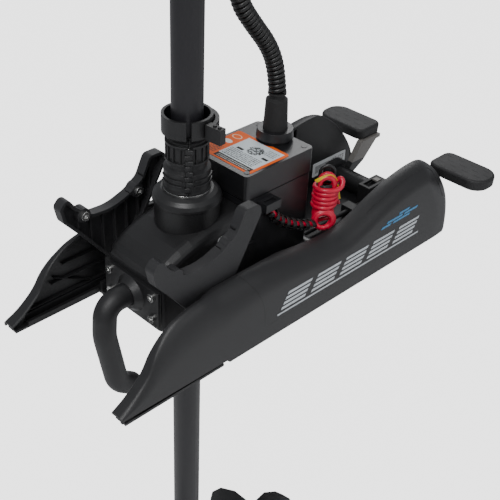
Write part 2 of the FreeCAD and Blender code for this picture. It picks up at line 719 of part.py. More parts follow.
def idler_gear():
    bore = STUD_R + RUN
    facing = -math.pi / 2 - math.pi / IDLER_SMALL_TEETH
    small = gear_solid(GEAR_MODULE, IDLER_SMALL_TEETH, SLOW_GEAR_Z, bore, (0, idler_y()), facing)
    hub = tube((0, idler_y(), SLOW_GEAR_Z[1]), (0, 0, 1), 7, bore, FAST_GEAR_Z[0] - SLOW_GEAR_Z[1])
    large = gear_solid(FAST_MODULE, IDLER_LARGE_TEETH, FAST_GEAR_Z, bore, (0, idler_y()), math.pi / 2)
    return fused([small, hub, large])


def lead_clamp():
    block = box(REAR_HALF, REAR_HALF + 13, 62, 84, 119, 129)
    slot = box(REAR_HALF + 4, REAR_HALF + 10, 66, 80, 126, 129)
    return block.cut(slot)


# ---- steering output and depth collar
def output_gear():
    return gear_solid(GEAR_MODULE, OUTPUT_TEETH, SLOW_GEAR_Z, TUBE_R, (0, 0), math.pi / 2)


def drive_tube():
    bottom = HOUSING_BOTTOM - 21
    body = tube((0, 0, bottom), (0, 0, 1), TUBE_R, TUBE_BORE_R, COLLAR_Z - bottom)
    flange = tube((0, 0, bottom), (0, 0, 1), TUBE_R + 4, TUBE_BORE_R, 6 - GAP)
    return fused([body, flange])


def knuckle_heights():
    step = (KNUCKLE_Z[1] - KNUCKLE_Z[0]) / KNUCKLES
    return [(KNUCKLE_Z[0] + k * step, step) for k in range(KNUCKLES)]


def collar_half(side):
    """One half shell of the collar; side is +1 or -1 across the split through the hinge."""
    bore = SHAFT_R + RUN
    body = turned([(bore, COLLAR_Z)] + COLLAR_PROFILE + [(CROWN_BORE_R, COLLAR_TOP),
                                                         (CROWN_BORE_R, CROWN_FLOOR),
                                                         (bore, CROWN_FLOOR)])
    across = V(-math.sin(HINGE_ANGLE), math.cos(HINGE_ANGLE), 0) * side
    cutter = Part.makeBox(80, 40, 100, V(-40, SPLIT / 2, COLLAR_Z - 5))
    cutter.rotate(V(0, 0, 0), V(0, 0, 1), math.degrees(HINGE_ANGLE) + (0 if side > 0 else 180))
    body = body.common(cutter)
    pin = (HINGE_AT * math.cos(HINGE_ANGLE), HINGE_AT * math.sin(HINGE_ANGLE))
    own = []
    for index, (z, height) in enumerate(knuckle_heights()):
        mine = (index % 2 == 0) == (side > 0)
        if mine:
            own.append(rod((pin[0], pin[1], z + 0.15), (0, 0, 1), KNUCKLE_R, height - 0.3))
        else:
            body = body.cut(rod((pin[0], pin[1], z - 0.1), (0, 0, 1), KNUCKLE_R + 0.3, height + 0.2))
    body = fused([body] + own)
    body = body.cut(rod((0, 0, COLLAR_Z), (0, 0, 1), bore, CROWN_FLOOR - COLLAR_Z))
    body = body.cut(rod((pin[0], pin[1], COLLAR_Z), (0, 0, 1), KNUCKLE_PIN_R, 60))
    slot_angle = math.degrees(HINGE_ANGLE)
    slit = Part.makeBox(14, 5, 30, V(18, -2.5, CROWN_FLOOR - 1))
    slit.rotate(V(0, 0, 0), V(0, 0, 1), slot_angle)
    ear = collar_ear(across)
    return fused([body.cut(slit), ear]) if side > 0 else body.cut(slit)


def collar_ear(across):
    """The forked lug that carries the clamp lever's pin, on the half that lies towards across."""
    pin = (LEVER_AT * math.cos(LEVER_ANGLE), LEVER_AT * math.sin(LEVER_ANGLE))
    on_left = V(-math.sin(LEVER_ANGLE), math.cos(LEVER_ANGLE), 0).dot(across) > 0
    inset = 0.4 if on_left else -4.4
    lugs = []
    for z in (LEVER_Z[0] - 4.3, LEVER_Z[1] + 0.3):
        arm = Part.makeBox(10, 4, 4, V(LEVER_AT - 9, inset, z))
        arm.rotate(V(0, 0, 0), V(0, 0, 1), math.degrees(LEVER_ANGLE))
        lugs += [rod((pin[0], pin[1], z), (0, 0, 1), 4.2, 4), arm]
    return fused(lugs).cut(rod((pin[0], pin[1], LEVER_Z[0] - 10), (0, 0, 1), KNUCKLE_PIN_R, 40))


def collar_pins():
    hinge = (HINGE_AT * math.cos(HINGE_ANGLE), HINGE_AT * math.sin(HINGE_ANGLE))
    lever = (LEVER_AT * math.cos(LEVER_ANGLE), LEVER_AT * math.sin(LEVER_ANGLE))
    return [rod((hinge[0], hinge[1], KNUCKLE_Z[0]), (0, 0, 1), KNUCKLE_PIN_R, KNUCKLE_Z[1] - KNUCKLE_Z[0]),
            rod((lever[0], lever[1], LEVER_Z[0] - 4.3), (0, 0, 1), KNUCKLE_PIN_R,
                LEVER_Z[1] - LEVER_Z[0] + 8.6)]


def clamp_lever():
    pin = (LEVER_AT * math.cos(LEVER_ANGLE), LEVER_AT * math.sin(LEVER_ANGLE))
    height = LEVER_Z[1] - LEVER_Z[0]
    band = turned([(LEVER_BAND[0], LEVER_Z[0]), (LEVER_BAND[1], LEVER_Z[0]), (LEVER_BAND[1], LEVER_Z[1]),
                   (LEVER_BAND[0], LEVER_Z[1])])
    wedge_points = [V(0, 0, LEVER_Z[0])]
    for k in range(7):
        angle = LEVER_ANGLE + LEVER_SWEEP * k / 6
        wedge_points.append(V(60 * math.cos(angle), 60 * math.sin(angle), LEVER_Z[0]))
    wedge = Part.Face(Part.makePolygon(wedge_points + [wedge_points[0]])).extrude(V(0, 0, height))
    band = band.common(wedge)
    eye = rod((pin[0], pin[1], LEVER_Z[0]), (0, 0, 1), 4.2, height)
    tip_angle = LEVER_ANGLE + LEVER_SWEEP
    grip = Part.makeBox(19, 8, height + 2, V(LEVER_BAND[0], -4, LEVER_Z[0]))
    grip.rotate(V(0, 0, 0), V(0, 0, 1), math.degrees(tip_angle))
    pegs = []
    for radius in (36, 42):
        pegs.append(rod((radius * math.cos(tip_angle), radius * math.sin(tip_angle), LEVER_Z[1]),
                        (0, 0, 1), 1.8, 3.5))
    return fused([band, eye, grip] + pegs).cut(rod((pin[0], pin[1], LEVER_Z[0]), (0, 0, 1),
                                                   KNUCKLE_PIN_R + RUN, height))


# ---- shaft, head and pod
def shaft_tube():
    bottom = POD_Z + POD_R - POD_WALL
    top = HEAD_Z + 16
    return tube((0, 0, bottom), (0, 0, 1), SHAFT_R, SHAFT_R - SHAFT_WALL, top - bottom)


def head_section(z, scale, inset):
    middle = (HEAD_Y[0] + HEAD_Y[1]) / 2
    half_y = (HEAD_Y[1] - HEAD_Y[0]) / 2 * scale - inset
    half_x = HEAD_HALF_X * scale - inset
    points = []
    for k in range(28):
        angle = 2 * math.pi * k / 28
        cos, sin = math.cos(angle), math.sin(angle)
        x = half_x * math.copysign(abs(cos) ** 0.75, cos)
        y = middle + half_y * math.copysign(abs(sin) ** 0.75, sin)
        points.append((x, y, z))
    return points


def head_lower():
    shell = loft([head_section(HEAD_Z, 0.78, 0), head_section(HEAD_Z + 8, 0.92, 0),
                  head_section(HEAD_SPLIT, 1, 0)])
    hollow = loft([head_section(HEAD_Z + HEAD_WALL, 0.8, HEAD_WALL),
                   head_section(HEAD_Z + 10, 0.92, HEAD_WALL),
                   head_section(HEAD_SPLIT, 1, HEAD_WALL)])
    socket = rod((0, 0, HEAD_Z - 8), (0, 0, 1), SHAFT_R + 5, 32)
    gland = rod((0, HEAD_GLAND_Y, HEAD_GLAND_Z), (0, 0, 1), 12, HEAD_Z - HEAD_GLAND_Z + 6)
    body = fused([shell.cut(hollow), socket, gland])
    return body.cut(rod((0, 0, HEAD_Z - 10), (0, 0, 1), SHAFT_R, 26)).cut(rod((0, 0, HEAD_Z), (0, 0, 1),
            10, 40))


def head_upper():
    shell = loft([head_section(HEAD_SPLIT, 1, 0), head_section(HEAD_SPLIT + 22, 0.96, 0),
                  head_section(HEAD_TOP - 6, 0.8, 0), head_section(HEAD_TOP, 0.62, 0)])
    hollow = loft([head_section(HEAD_SPLIT, 1, HEAD_WALL), head_section(HEAD_SPLIT + 22, 0.96, HEAD_WALL),
                   head_section(HEAD_TOP - 6, 0.78, HEAD_WALL),
                   head_section(HEAD_TOP - HEAD_WALL, 0.6, HEAD_WALL)])
    return shell.cut(hollow)


def head_board():
    return [box(-30, 30, 24, 76, HEAD_Z + 20, HEAD_Z + 21.6),
            box(-12, 12, 34, 60, HEAD_Z + 21.6, HEAD_Z + 27)]


def pod_body():
    shell = turned_along_y([(POD_R, POD_Y[0]), (POD_R, POD_Y[1]), (POD_R - POD_WALL, POD_Y[1]),
                            (POD_R - POD_WALL, POD_Y[0])], POD_Z)
    neck = rod((0, 0, POD_Z + POD_R - 8), (0, 0, 1), SHAFT_R + 6, 46)
    neck = neck.cut(rod((0, -60, POD_Z), (0, 1, 0), POD_R - POD_WALL, 120))
    skeg = [(-6, POD_Z - POD_R + 1), (70, POD_Z - POD_R + 1), (56, POD_Z - POD_R - 62),
            (28, POD_Z - POD_R - 66)]
    fin = side_prism([(y, z, 0) for y, z in skeg], -3, 3)
    body = fused([shell, neck, fin])
    return body.cut(rod((0, 0, POD_Z + POD_R - 6), (0, 0, 1), SHAFT_R, 60))


def pod_nose():
    outer = []
    for k in range(9):
        angle = math.pi / 2 * k / 8
        outer.append((POD_R * math.cos(angle), POD_Y[0] + (NOSE_Y - POD_Y[0]) * math.sin(angle)))
    return turned_along_y(outer + [(0, POD_Y[0] - 20), (30, POD_Y[0])], POD_Z)


def pod_tail():
    bore = DRIVE_SHAFT_R + RUN
    profile = [(POD_R, POD_Y[1]), (43.5, 100), (39, 112), (33, 121), (TAIL_R, TAIL_Y), (bore, TAIL_Y),
               (bore, POD_Y[1]), (30, POD_Y[1])]
    return turned_along_y(profile, POD_Z)


def field_magnets():
    ring = turned_along_y([(MAGNET_R[0], -60), (MAGNET_R[1], -60), (MAGNET_R[1], 60),
                           (MAGNET_R[0], 60)], POD_Z)
    gap = box(-8, 8, -70, 70, POD_Z - 60, POD_Z + 60)
    return ring.cut(gap)


def brush_plate():
    disc = tube((0, -78, POD_Z), (0, 1, 0), POD_R - POD_WALL, 14, 4)
    brushes = [box(14, 24, -74, -66, POD_Z - 4, POD_Z + 4), box(-24, -14, -74, -66, POD_Z - 4, POD_Z + 4)]
    return fused([disc] + brushes)


def pod_bearings():
    front = tube((0, -89, POD_Z), (0, 1, 0), 13, DRIVE_SHAFT_R + RUN, 8)
    carrier = tube((0, -89, POD_Z), (0, 1, 0), POD_R - POD_WALL, 13, 5)
    rear = tube((0, POD_Y[1] - 10, POD_Z), (0, 1, 0), POD_R - POD_WALL, DRIVE_SHAFT_R + RUN, 10)
    return [fused([front, carrier]), rear]


def armature():
    spindle = rod((0, -88, POD_Z), (0, 1, 0), DRIVE_SHAFT_R, PROP_Y[1] + 8 + 88)
    core = rod((0, -50, POD_Z), (0, 1, 0), ARMATURE_R, 100)
    slots = []
    for k in range(12):
        slot = box(-2, 2, -50, 50, POD_Z + ARMATURE_R - 8, POD_Z + ARMATURE_R + 1)
        slot.rotate(V(0, 0, POD_Z), V(0, 1, 0), 30 * k)
        slots.append(slot)
    commutator = rod((0, -74, POD_Z), (0, 1, 0), 13.5, 20)
    return fused([spindle, core.cut(fused(slots)), commutator])


def blade(turn):
    sections = []
    for radius, chord, pitch, thick in ((22, 34, 60, 6), (45, 52, 46, 5), (72, 60, 36, 4), (98, 48, 29, 3),
                                        (PROP_R, 22, 26, 2)):
        a = math.radians(pitch)
        cx, cy = chord / 2 * math.cos(a), chord / 2 * math.sin(a)
        tx, ty = -thick / 2 * math.sin(a), thick / 2 * math.cos(a)
        middle = (PROP_Y[0] + PROP_Y[1]) / 2
        corners = [(-cx + tx * 0.3, -cy + ty * 0.3), (tx, ty), (cx + tx * 0.3, cy + ty * 0.3),
                   (cx - tx * 0.3, cy - ty * 0.3), (-tx, -ty), (-cx - tx * 0.3, -cy - ty * 0.3)]
        sections.append([(x, middle + y, POD_Z + radius) for x, y in corners])
    shape = loft(sections)
    shape.rotate(V(0, 0, POD_Z), V(0, 1, 0), turn)
    return shape


def propeller():
    hub = turned_along_y([(PROP_HUB_R, PROP_Y[0]), (PROP_HUB_R + 1, PROP_Y[0] + 14), (19, PROP_Y[1]),
                          (DRIVE_SHAFT_R, PROP_Y[1]), (DRIVE_SHAFT_R, PROP_Y[0])], POD_Z)
    blades = [blade(BLADE_TURN + 360 / BLADES * k) for k in range(BLADES)]
    cored = [b.cut(rod((0, PROP_Y[0] - 20, POD_Z), (0, 1, 0), DRIVE_SHAFT_R, 90)) for b in blades]
    return fused([hub] + cored)


def prop_nut():
    points = [V(9 * math.cos(math.pi / 3 * k), PROP_Y[1],
                POD_Z + 9 * math.sin(math.pi / 3 * k)) for k in range(6)]
    nut = Part.Face(Part.makePolygon(points + [points[0]])).extrude(V(0, 6, 0))
    return nut.cut(rod((0, PROP_Y[1], POD_Z), (0, 1, 0), DRIVE_SHAFT_R, 6))


# ---- foot pedal and latch
def pedal_frame():
    shaft = tube((-PEDAL_TUBE_HALF, PEDAL_Y, PEDAL_Z), (1, 0, 0), PEDAL_TUBE_R,
                 PEDAL_TUBE_R - PEDAL_TUBE_WALL,
                 2 * PEDAL_TUBE_HALF)
    outline = [(PEDAL_Y + 6, PEDAL_Z + 8, 0), (PEDAL_Y + 11, PEDAL_Z + 1, 0), (361, 32, 8),
               (384, PAD_Z[0] - ARM_T, 3),
               (392, PAD_Z[0] - ARM_T, 0), (392, PAD_Z[0], 0), (355, PAD_Z[0], 6)]
    arm = side_prism(outline, ARM_X[0], ARM_X[1])
    shelf = box(ARM_X[1], PAD_X[1] - 18, PAD_Y[0] + 12, PAD_Y[1] - 12, PAD_Z[0] - 4, PAD_Z[0])
    side = fused([arm, shelf])
    lug = box(-4, 4, PEDAL_Y - 4, PEDAL_Y + 4, PEDAL_Z + 5, LUG_TOP)
    body = fused([shaft, lug] + both_sides(side))
    return body.cut(rod((-PEDAL_TUBE_HALF, PEDAL_Y, PEDAL_Z), (1, 0, 0), PEDAL_TUBE_R - PEDAL_TUBE_WALL,
                        2 * PEDAL_TUBE_HALF))


def pedal_pad():
    points = [(PAD_X[0], PAD_Y[0], PAD_Z[0]), (PAD_X[1], PAD_Y[0], PAD_Z[0]),
              (PAD_X[1], PAD_Y[1], PAD_Z[0]), (PAD_X[0], PAD_Y[1], PAD_Z[0])]
    wire = rounded_wire(points, [PAD_INNER_R, PAD_END_R, PAD_END_R, PAD_INNER_R], True)
    return Part.Face(wire).extrude(V(0, 0, PAD_Z[1] - PAD_Z[0]))


def pedal_spring():
    length = SPRING_X[1] - SPRING_X[0]
    return tube((SPRING_X[0], PEDAL_Y, PEDAL_Z), (1, 0, 0), PEDAL_TUBE_R + 3, PEDAL_TUBE_R, length)


def latch_bolt():
    """A bolt under the box, and a yoke over the pedal tube that the tube's lug pushes to the rear."""
    front = PEDAL_Y - 26
    bolt = rod((0, 92.5, LATCH_Z), (0, 1, 0), LATCH_R, front + 2 - 92.5)
    upright = box(-9, 9, front, front + 4, LATCH_Z - 5, LATCH_BAR_Z[1])
    arms = both_sides(box(5, 9, front, PEDAL_Y + 10, LATCH_BAR_Z[0], LATCH_BAR_Z[1]))
    cross = box(-9, 9, PEDAL_Y + 4 + GAP, PEDAL_Y + 10, LATCH_BAR_Z[0], LATCH_BAR_Z[1])
    return fused([bolt, upright, cross] + arms)


def latch_guides():
    guides = []
    for y in (104, 270):
        block = box(-9, 9, y, y + 14, PLATE_T, LATCH_Z + 6)
        guides.append(block.cut(rod((0, y, LATCH_Z), (0, 1, 0), LATCH_R + RUN, 14)))
    return guides


# ---- cords
def power_hank():
    sections = []
    for (x, y, z), radius in zip(HANK_AXIS, HANK_R):
        ring = []
        for k in range(20):
            angle = 2 * math.pi * k / 20
            ring.append((x + radius * math.cos(angle), y + radius * 1.15 * math.sin(angle), z))
        sections.append(ring)
    return loft(sections)


save("deck_plate", deck_plate())
save("rail_right", rail())
save("rail_left", mirrored(rail()))
RIGHT_COVER = side_cover()
save("cover_right", RIGHT_COVER)
save("cover_left", mirrored(RIGHT_COVER))
RIGHT_ARM = cradle_arm()
save("cradle_arm_right", RIGHT_ARM)
save("cradle_arm_left", mirrored(RIGHT_ARM))
save("frame_screws", frame_screws())
save("pivot_brackets", both_sides(pivot_lug()))
save("tilt_axle", tilt_axle())
save("bearing_blocks", both_sides(pedal_block()) + latch_guides())
save("stop_bumpers", both_sides(stop_bumper()))
save("rating_label", rating_label())

save("lower_housing", lower_housing())
save("upper_housing", upper_housing())
save("dome_cover", dome_cover())
save("dome_ring", dome_ring())
save("housing_bushes", shaft_bushes() + pivot_bushes())
save("front_plate", front_plate())
save("plate_screws", plate_screws())
save("pull_handle", pull_handle())
save("rear_housing", rear_housing())
save("lid_gasket", lid_gasket())
save("box_lid", box_lid())
save("lid_label", lid_label())
save("lid_plugs", lid_plugs())
save("control_board", control_board())
save("cord_gland", cord_gland())
save("cord_boot", cord_boot())
save("steering_motor", steering_motor())
save("motor_pinion", motor_pinion())
save("idler_gear", idler_gear())
save("lead_clamp", lead_clamp())

save("output_gear", output_gear())
save("drive_tube", drive_tube())
save("collar_left", collar_half(1))
save("collar_right", collar_half(-1))
save("collar_pins", collar_pins())
save("clamp_lever", clamp_lever())

save("shaft", shaft_tube())
save("head_lower", head_lower())
save("head_upper", head_upper())
save("head_board", head_board())
save("pod_body", pod_body())
save("pod_nose", pod_nose())
save("pod_tail", pod_tail())
save("field_magnets", field_magnets())
save("brush_plate", brush_plate())
save("pod_bearings", pod_bearings())
save("armature", armature())
save("propeller", propeller())
save("prop_nut", prop_nut())

save("pedal_frame", pedal_frame())
save("pedal_pads", both_sides(pedal_pad()))
save("pedal_spring", pedal_spring())
save("latch_bolt", latch_bolt())

save("curly_lower", cord_tube("curly_lower", CURLY_LOWER, CURLY_R))
save("curly_upper", cord_tube("curly_upper", CURLY_UPPER, CURLY_R))
save("power_leads", cord_tube("power_leads", LEADS_ROUTE, LEADS_R))
save("power_hank", power_hank())
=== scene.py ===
import math

import bmesh
import bpy
from mathutils import Matrix, Vector


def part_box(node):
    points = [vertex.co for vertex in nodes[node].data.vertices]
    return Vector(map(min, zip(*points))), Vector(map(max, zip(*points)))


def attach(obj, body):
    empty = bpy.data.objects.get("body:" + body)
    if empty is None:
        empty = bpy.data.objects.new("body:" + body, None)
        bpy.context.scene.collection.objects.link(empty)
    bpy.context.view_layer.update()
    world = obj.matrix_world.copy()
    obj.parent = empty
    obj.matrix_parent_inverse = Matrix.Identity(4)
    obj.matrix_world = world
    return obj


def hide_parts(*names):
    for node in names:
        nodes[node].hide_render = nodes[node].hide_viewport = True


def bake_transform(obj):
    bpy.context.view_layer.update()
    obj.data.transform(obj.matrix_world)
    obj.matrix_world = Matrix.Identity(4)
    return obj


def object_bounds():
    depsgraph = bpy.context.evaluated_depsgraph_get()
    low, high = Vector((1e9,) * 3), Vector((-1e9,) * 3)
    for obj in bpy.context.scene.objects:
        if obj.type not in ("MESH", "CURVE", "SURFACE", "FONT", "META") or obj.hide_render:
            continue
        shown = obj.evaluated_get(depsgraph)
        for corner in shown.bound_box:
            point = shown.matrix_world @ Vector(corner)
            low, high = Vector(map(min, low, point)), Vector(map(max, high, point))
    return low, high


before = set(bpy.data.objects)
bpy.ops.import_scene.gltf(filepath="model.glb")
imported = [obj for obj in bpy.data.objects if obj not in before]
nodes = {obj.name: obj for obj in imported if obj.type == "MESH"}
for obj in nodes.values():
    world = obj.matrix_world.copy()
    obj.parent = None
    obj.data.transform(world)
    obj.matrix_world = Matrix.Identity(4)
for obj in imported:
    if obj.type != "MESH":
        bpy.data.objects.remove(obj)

cad_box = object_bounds()


# ---- Deck frame: flat plate, two pressed side rails, pivot brackets and the tilt axle.
# Powder-coated aluminium, bolted through the deck at four holes; stainless hardware.
# The paint is thin and even, with a fine orange-peel that breaks up the highlights.
class Socket:
    """One output of a material's node tree. Arithmetic on it adds Math nodes."""

    def __init__(self, tree, socket=None):
        self.tree = tree
        self.socket = socket

    def node(self, kind, inputs=(), output=0, **settings):
        """A new node of this kind: its settings first, then a value or a link for each input."""
        made = self.tree.nodes.new("ShaderNode" + kind)
        for name, value in settings.items():
            setattr(made, name, value)
        for name, value in dict(inputs).items():
            if isinstance(value, Socket):
                self.tree.links.new(value.socket, made.inputs[name])
            else:
                made.inputs[name].default_value = value
        return Socket(self.tree, made.outputs[output])

    def math(self, operation, first, second):
        """A Math node on two values, which the operators below share."""
        return self.node("Math", {0: first, 1: second}, operation=operation)

    def __add__(self, other):
        return self.math("ADD", self, other)

    def __radd__(self, other):
        return self.math("ADD", other, self)

    def __sub__(self, other):
        return self.math("SUBTRACT", self, other)

    def __rsub__(self, other):
        return self.math("SUBTRACT", other, self)

    def __mul__(self, other):
        return self.math("MULTIPLY", self, other)

    def __rmul__(self, other):
        return self.math("MULTIPLY", other, self)

    def __truediv__(self, other):
        return self.math("DIVIDE", self, other)

    def __gt__(self, other):
        return self.math("GREATER_THAN", self, other)

    def __lt__(self, other):
        return self.math("LESS_THAN", self, other)

    def mix(self, low, high):
        """A colour between low and high, by this value."""
        return self.node("Mix", {0: self, 6: low, 7: high}, output=2, data_type="RGBA")


def begin(name, **constants):
    """A new material: its tree, its shader and where on the object it is."""
    material = bpy.data.materials.new(name)
    material.use_nodes = True
    shader = material.node_tree.nodes["Principled BSDF"]
    for key, value in constants.items():
        shader.inputs[key.replace("_", " ")].default_value = value
    here = Socket(material.node_tree).node("TexCoord", output=3)
    return material, shader, here


def link(shader, name, signal):
    """A signal that varies over the surface goes into one of the shader's sockets."""
    signal.tree.links.new(signal.socket, shader.inputs[name])


def rgb(red, green, blue):
    """An opaque colour."""
    return (red, green, blue, 1)


def texture(here, scale, detail=3.0, roughness=0.55):
    """Soft clouds at a low scale, a grain at a high one."""
    return here.node("TexNoise", {"Vector": here, "Scale": scale, "Detail": detail, "Roughness": roughness})


CLOUD_SCALE = 26.0
EDGE_ROUND = 0.0007
EDGE_SAMPLES = 4


def finish(name, dark, light, rough, grain, depth, **constants):
    """A mottled colour, an uneven roughness, a fine grain and softened edges."""
    material, shader, here = begin(name, **constants)
    cloud = texture(here, CLOUD_SCALE, 4.0)
    fine = texture(here, grain, 2.0, 0.6)
    link(shader, "Base Color", cloud.mix(dark, light))
    link(shader, "Roughness", rough[0] + cloud * (rough[1] - rough[0]) + (fine - 0.5) * 0.08)
    soft = here.node("Bevel", {"Radius": EDGE_ROUND}, samples=EDGE_SAMPLES)
    bump = here.node("Bump", {"Height": fine, "Distance": depth, "Strength": 0.6, "Normal": soft})
    link(shader, "Normal", bump)
    return material


DRESS_CREASE = 32


def dress(material, *names):
    """A carried-over CAD node gets a finish, and shading that is smooth over its curves."""
    for name in names:
        piece = nodes[name]
        piece.data.materials.clear()
        piece.data.materials.append(material)
        smooth_over(piece, DRESS_CREASE)


def smooth_over(piece, degrees):
    """Smooth shading, broken along the edges that are sharper than this many degrees."""
    limit = math.radians(degrees)
    mesh = bmesh.new()
    mesh.from_mesh(piece.data)
    for face in mesh.faces:
        face.smooth = True
    for edge in mesh.edges:
        edge.smooth = len(edge.link_faces) == 2 and edge.calc_face_angle(0) < limit
    mesh.to_mesh(piece.data)
    mesh.free()


powder_black = finish("powder_black", rgb(0.006, 0.006, 0.0065), rgb(0.011, 0.011, 0.012),
                      (0.42, 0.55), 900, 0.0003)
dress(powder_black, "deck_plate", "rail_left", "rail_right", "pivot_brackets", "lower_housing")
stainless = finish("stainless", rgb(0.55, 0.55, 0.54), rgb(0.7, 0.7, 0.68),
                   (0.2, 0.32), 1500, 0.00005, Metallic=1.0)
dress(stainless, "frame_screws", "plate_screws", "tilt_axle", "collar_pins", "prop_nut")
block_black = finish("block_black", rgb(0.007, 0.007, 0.0075), rgb(0.012, 0.012, 0.0125),
                     (0.5, 0.62), 700, 0.0003)
# The latch bolt down in the deck well gets this black as painted shade.
dress(block_black, "bearing_blocks", "brush_plate", "latch_bolt")
soft_rubber = finish("soft_rubber", rgb(0.006, 0.006, 0.006), rgb(0.012, 0.012, 0.0125),
                     (0.62, 0.78), 500, 0.0004)
dress(soft_rubber, "stop_bumpers", "lid_gasket", "cord_boot")

# ---- Cradle arms: ribbed plastic mouldings either side of the housing that catch the pod.
# Injected in glass-filled nylon, matt, each held by two stainless button screws.
# The ribs face inwards; the outer face is plain with a slightly paler, brushed look.
arm_plastic = finish("arm_plastic", rgb(0.011, 0.011, 0.012), rgb(0.019, 0.019, 0.0205),
                     (0.44, 0.56), 650, 0.0004)
dress(arm_plastic, "cradle_arm_left", "cradle_arm_right")


def at(x, y, z):
    """A point given in millimetres from the shaft's centre line at deck level."""
    return Vector((x, y, z)) / 1000 + Vector((0, shaft_y, 0))


shaft_low, shaft_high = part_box("shaft")
shaft_y = (shaft_low.y + shaft_high.y) / 2

# ---- Side covers: two long hollow mouldings, a rounded shoulder falling to a flat flank.
# Textured black polypropylene, thin-walled, humped over the pedal end and pointed in front.
# A parting groove runs down the flank; silver and blue film stripes decorate the near side.
COVER_TOP = [(-170, 11), (-158, 18), (-145, 28), (-133, 40), (-125, 54), (-115, 66), (-104, 75),
             (-93, 81), (-75, 86), (-60, 88), (-20, 88.8), (16, 89), (50, 86), (77, 82), (100, 79),
             (124, 77), (150, 78), (176, 85.5), (202, 95.5), (226, 103), (250, 108), (272, 110.5),
             (289, 110), (303, 104.5), (324, 89), (333, 80), (345, 66), (355, 52), (363, 38), (369, 22),
             (372, 8)]
COVER_INNER = [(-170, 84), (-60, 84), (-40, 78.8), (16, 78.8), (60, 75), (372, 75)]
COVER_END = [(-170, 0), (320, 0), (338, 1), (345, 4), (352, 8), (358, 12), (364, 16), (369, 20),
             (372, 23)]
COVER_WALL = 3.0
COVER_OUT = 100.0
COVER_STEP = 4.0
COVER_FRONT = -170
COVER_LONG = 542
COVER_REAR = 371.9
TOE_END = -31
LEDGE_END = -104
TAIL_FROM = 291
TAIL_LONG = 54
ROLL_STEPS = 16
FLANK_STEPS = 8
SIDES = (("right", 1), ("left", -1))
SHOULDER = [(-170, 26), (-120, 32), (-90, 42), (-40, 40), (20, 30), (80, 24), (160, 22), (230, 24),
            (372, 26)]


def held(value):
    """The value, held between 0 and 1."""
    return min(max(value, 0), 1)


def along(table, y):
    """A smooth reading of a table of (y, value) pairs: a cubic through its neighbours."""
    count = len(table)
    k = 0
    while k < count - 2 and y > table[k + 1][0]:
        k += 1
    (y1, v1), (y2, v2) = table[k], table[k + 1]
    y0, v0 = table[max(k - 1, 0)]
    y3, v3 = table[min(k + 2, count - 1)]
    t = held((y - y1) / (y2 - y1))
    m1 = (v2 - v0) / (y2 - y0) * (y2 - y1)
    m2 = (v3 - v1) / (y3 - y1) * (y2 - y1)
    return ((2 * v1 - 2 * v2 + m1 + m2) * t + (3 * v2 - 3 * v1 - 2 * m1 - m2)) * t * t + m1 * t + v1


def straight(table, y):
    """A reading of a table of (y, value) pairs along straight lines."""
    for (y0, v0), (y1, v1) in zip(table, table[1:]):
        if y <= y1:
            return v0 + (v1 - v0) * (y - y0) / (y1 - y0)
    return table[-1][1]


def cover_line(y, inset):
    """From the inner top edge, over the shoulder and down the flank, at one place along the cover."""
    top = along(COVER_TOP, y)
    foot = 0.7 + 6.5 * held((TOE_END - y) / 3) * (1 - 0.4 * (y + 170) / 140)
    foot = min(foot, top - 6)
    inner = straight(COVER_INNER, y)
    outer = COVER_OUT - straight(COVER_END, y)
    tail = held((y - TAIL_FROM) / TAIL_LONG)
    roll = min(straight(SHOULDER, y), 0.55 * (top - foot)) * (1 - tail) + (top - foot - 0.6) * tail
    ledge = 3 + 7 * held((LEDGE_END - y) / 30)
    ledge = ledge * (1 - tail) + 0.5 * tail
    span = outer - inner - ledge - inset
    line = [(inner, top - inset - 1.2 * (inset == 0)), (inner + 1.0, top - inset)]
    for k in range(ROLL_STEPS + 1):
        turn = math.pi / 2 * k / ROLL_STEPS
        line.append((inner + ledge + span * math.sin(turn), top - roll + max(roll - inset, 1) * math.cos(turn)))
    low = top - roll
    for k in range(1, FLANK_STEPS + 1):
        line.append((outer - inset, low + (foot - low) * k / FLANK_STEPS))
    return [(x, y, z) for x, z in line]


def skin(name, rings, capped=True, crease=35):
    """A mesh over rings of points; each ring joins the next point by point."""
    mesh = bpy.data.meshes.new(name)
    count = len(rings[0])
    faces = []
    for r in range(len(rings) - 1):
        for k in range(count):
            here, after = r * count, (r + 1) * count
            beside = (k + 1) % count
            faces.append((here + k, here + beside, after + beside, after + k))
    if capped:
        faces.append(tuple(range(count))[::-1])
        faces.append(tuple((len(rings) - 1) * count + k for k in range(count)))
    mesh.from_pydata([tuple(p) for ring in rings for p in ring], [], faces)
    piece = bpy.data.objects.new(name, mesh)
    bpy.context.scene.collection.objects.link(piece)
    outward = bmesh.new()
    outward.from_mesh(mesh)
    bmesh.ops.recalc_face_normals(outward, faces=outward.faces)
    outward.to_mesh(mesh)
    outward.free()
    smooth_over(piece, crease)
    return piece


def wear(piece, material, body, *stood_for):
    """The piece gets its finish, rides on its body and stands for those CAD nodes."""
    piece.data.materials.append(material)
    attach(piece, body)
    if stood_for:
        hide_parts(*stood_for)
    return piece


GROOVE_FRONT = 0.019
GROOVE_REAR = 0.298
GROOVE_LOW = 0.0215


def flank_groove(here):
    """1 along the parting line between the cover's front and rear mouldings."""
    place = here.node("SeparateXYZ", {0: here}, output=1) - shaft_y
    height = here.node("SeparateXYZ", {0: here}, output=2)
    low = height - 0.028
    middle = place - 0.16
    upright = here.node("Math", {0: place - GROOVE_FRONT + low * low * 6.8}, operation="ABSOLUTE")
    level = here.node("Math", {0: height - GROOVE_LOW + middle * middle * 0.12}, operation="ABSOLUTE")
    front = (upright < 0.0006) * (height > 0.021)
    return front + (level < 0.0005) * (place > 0.021) * (place < GROOVE_REAR)


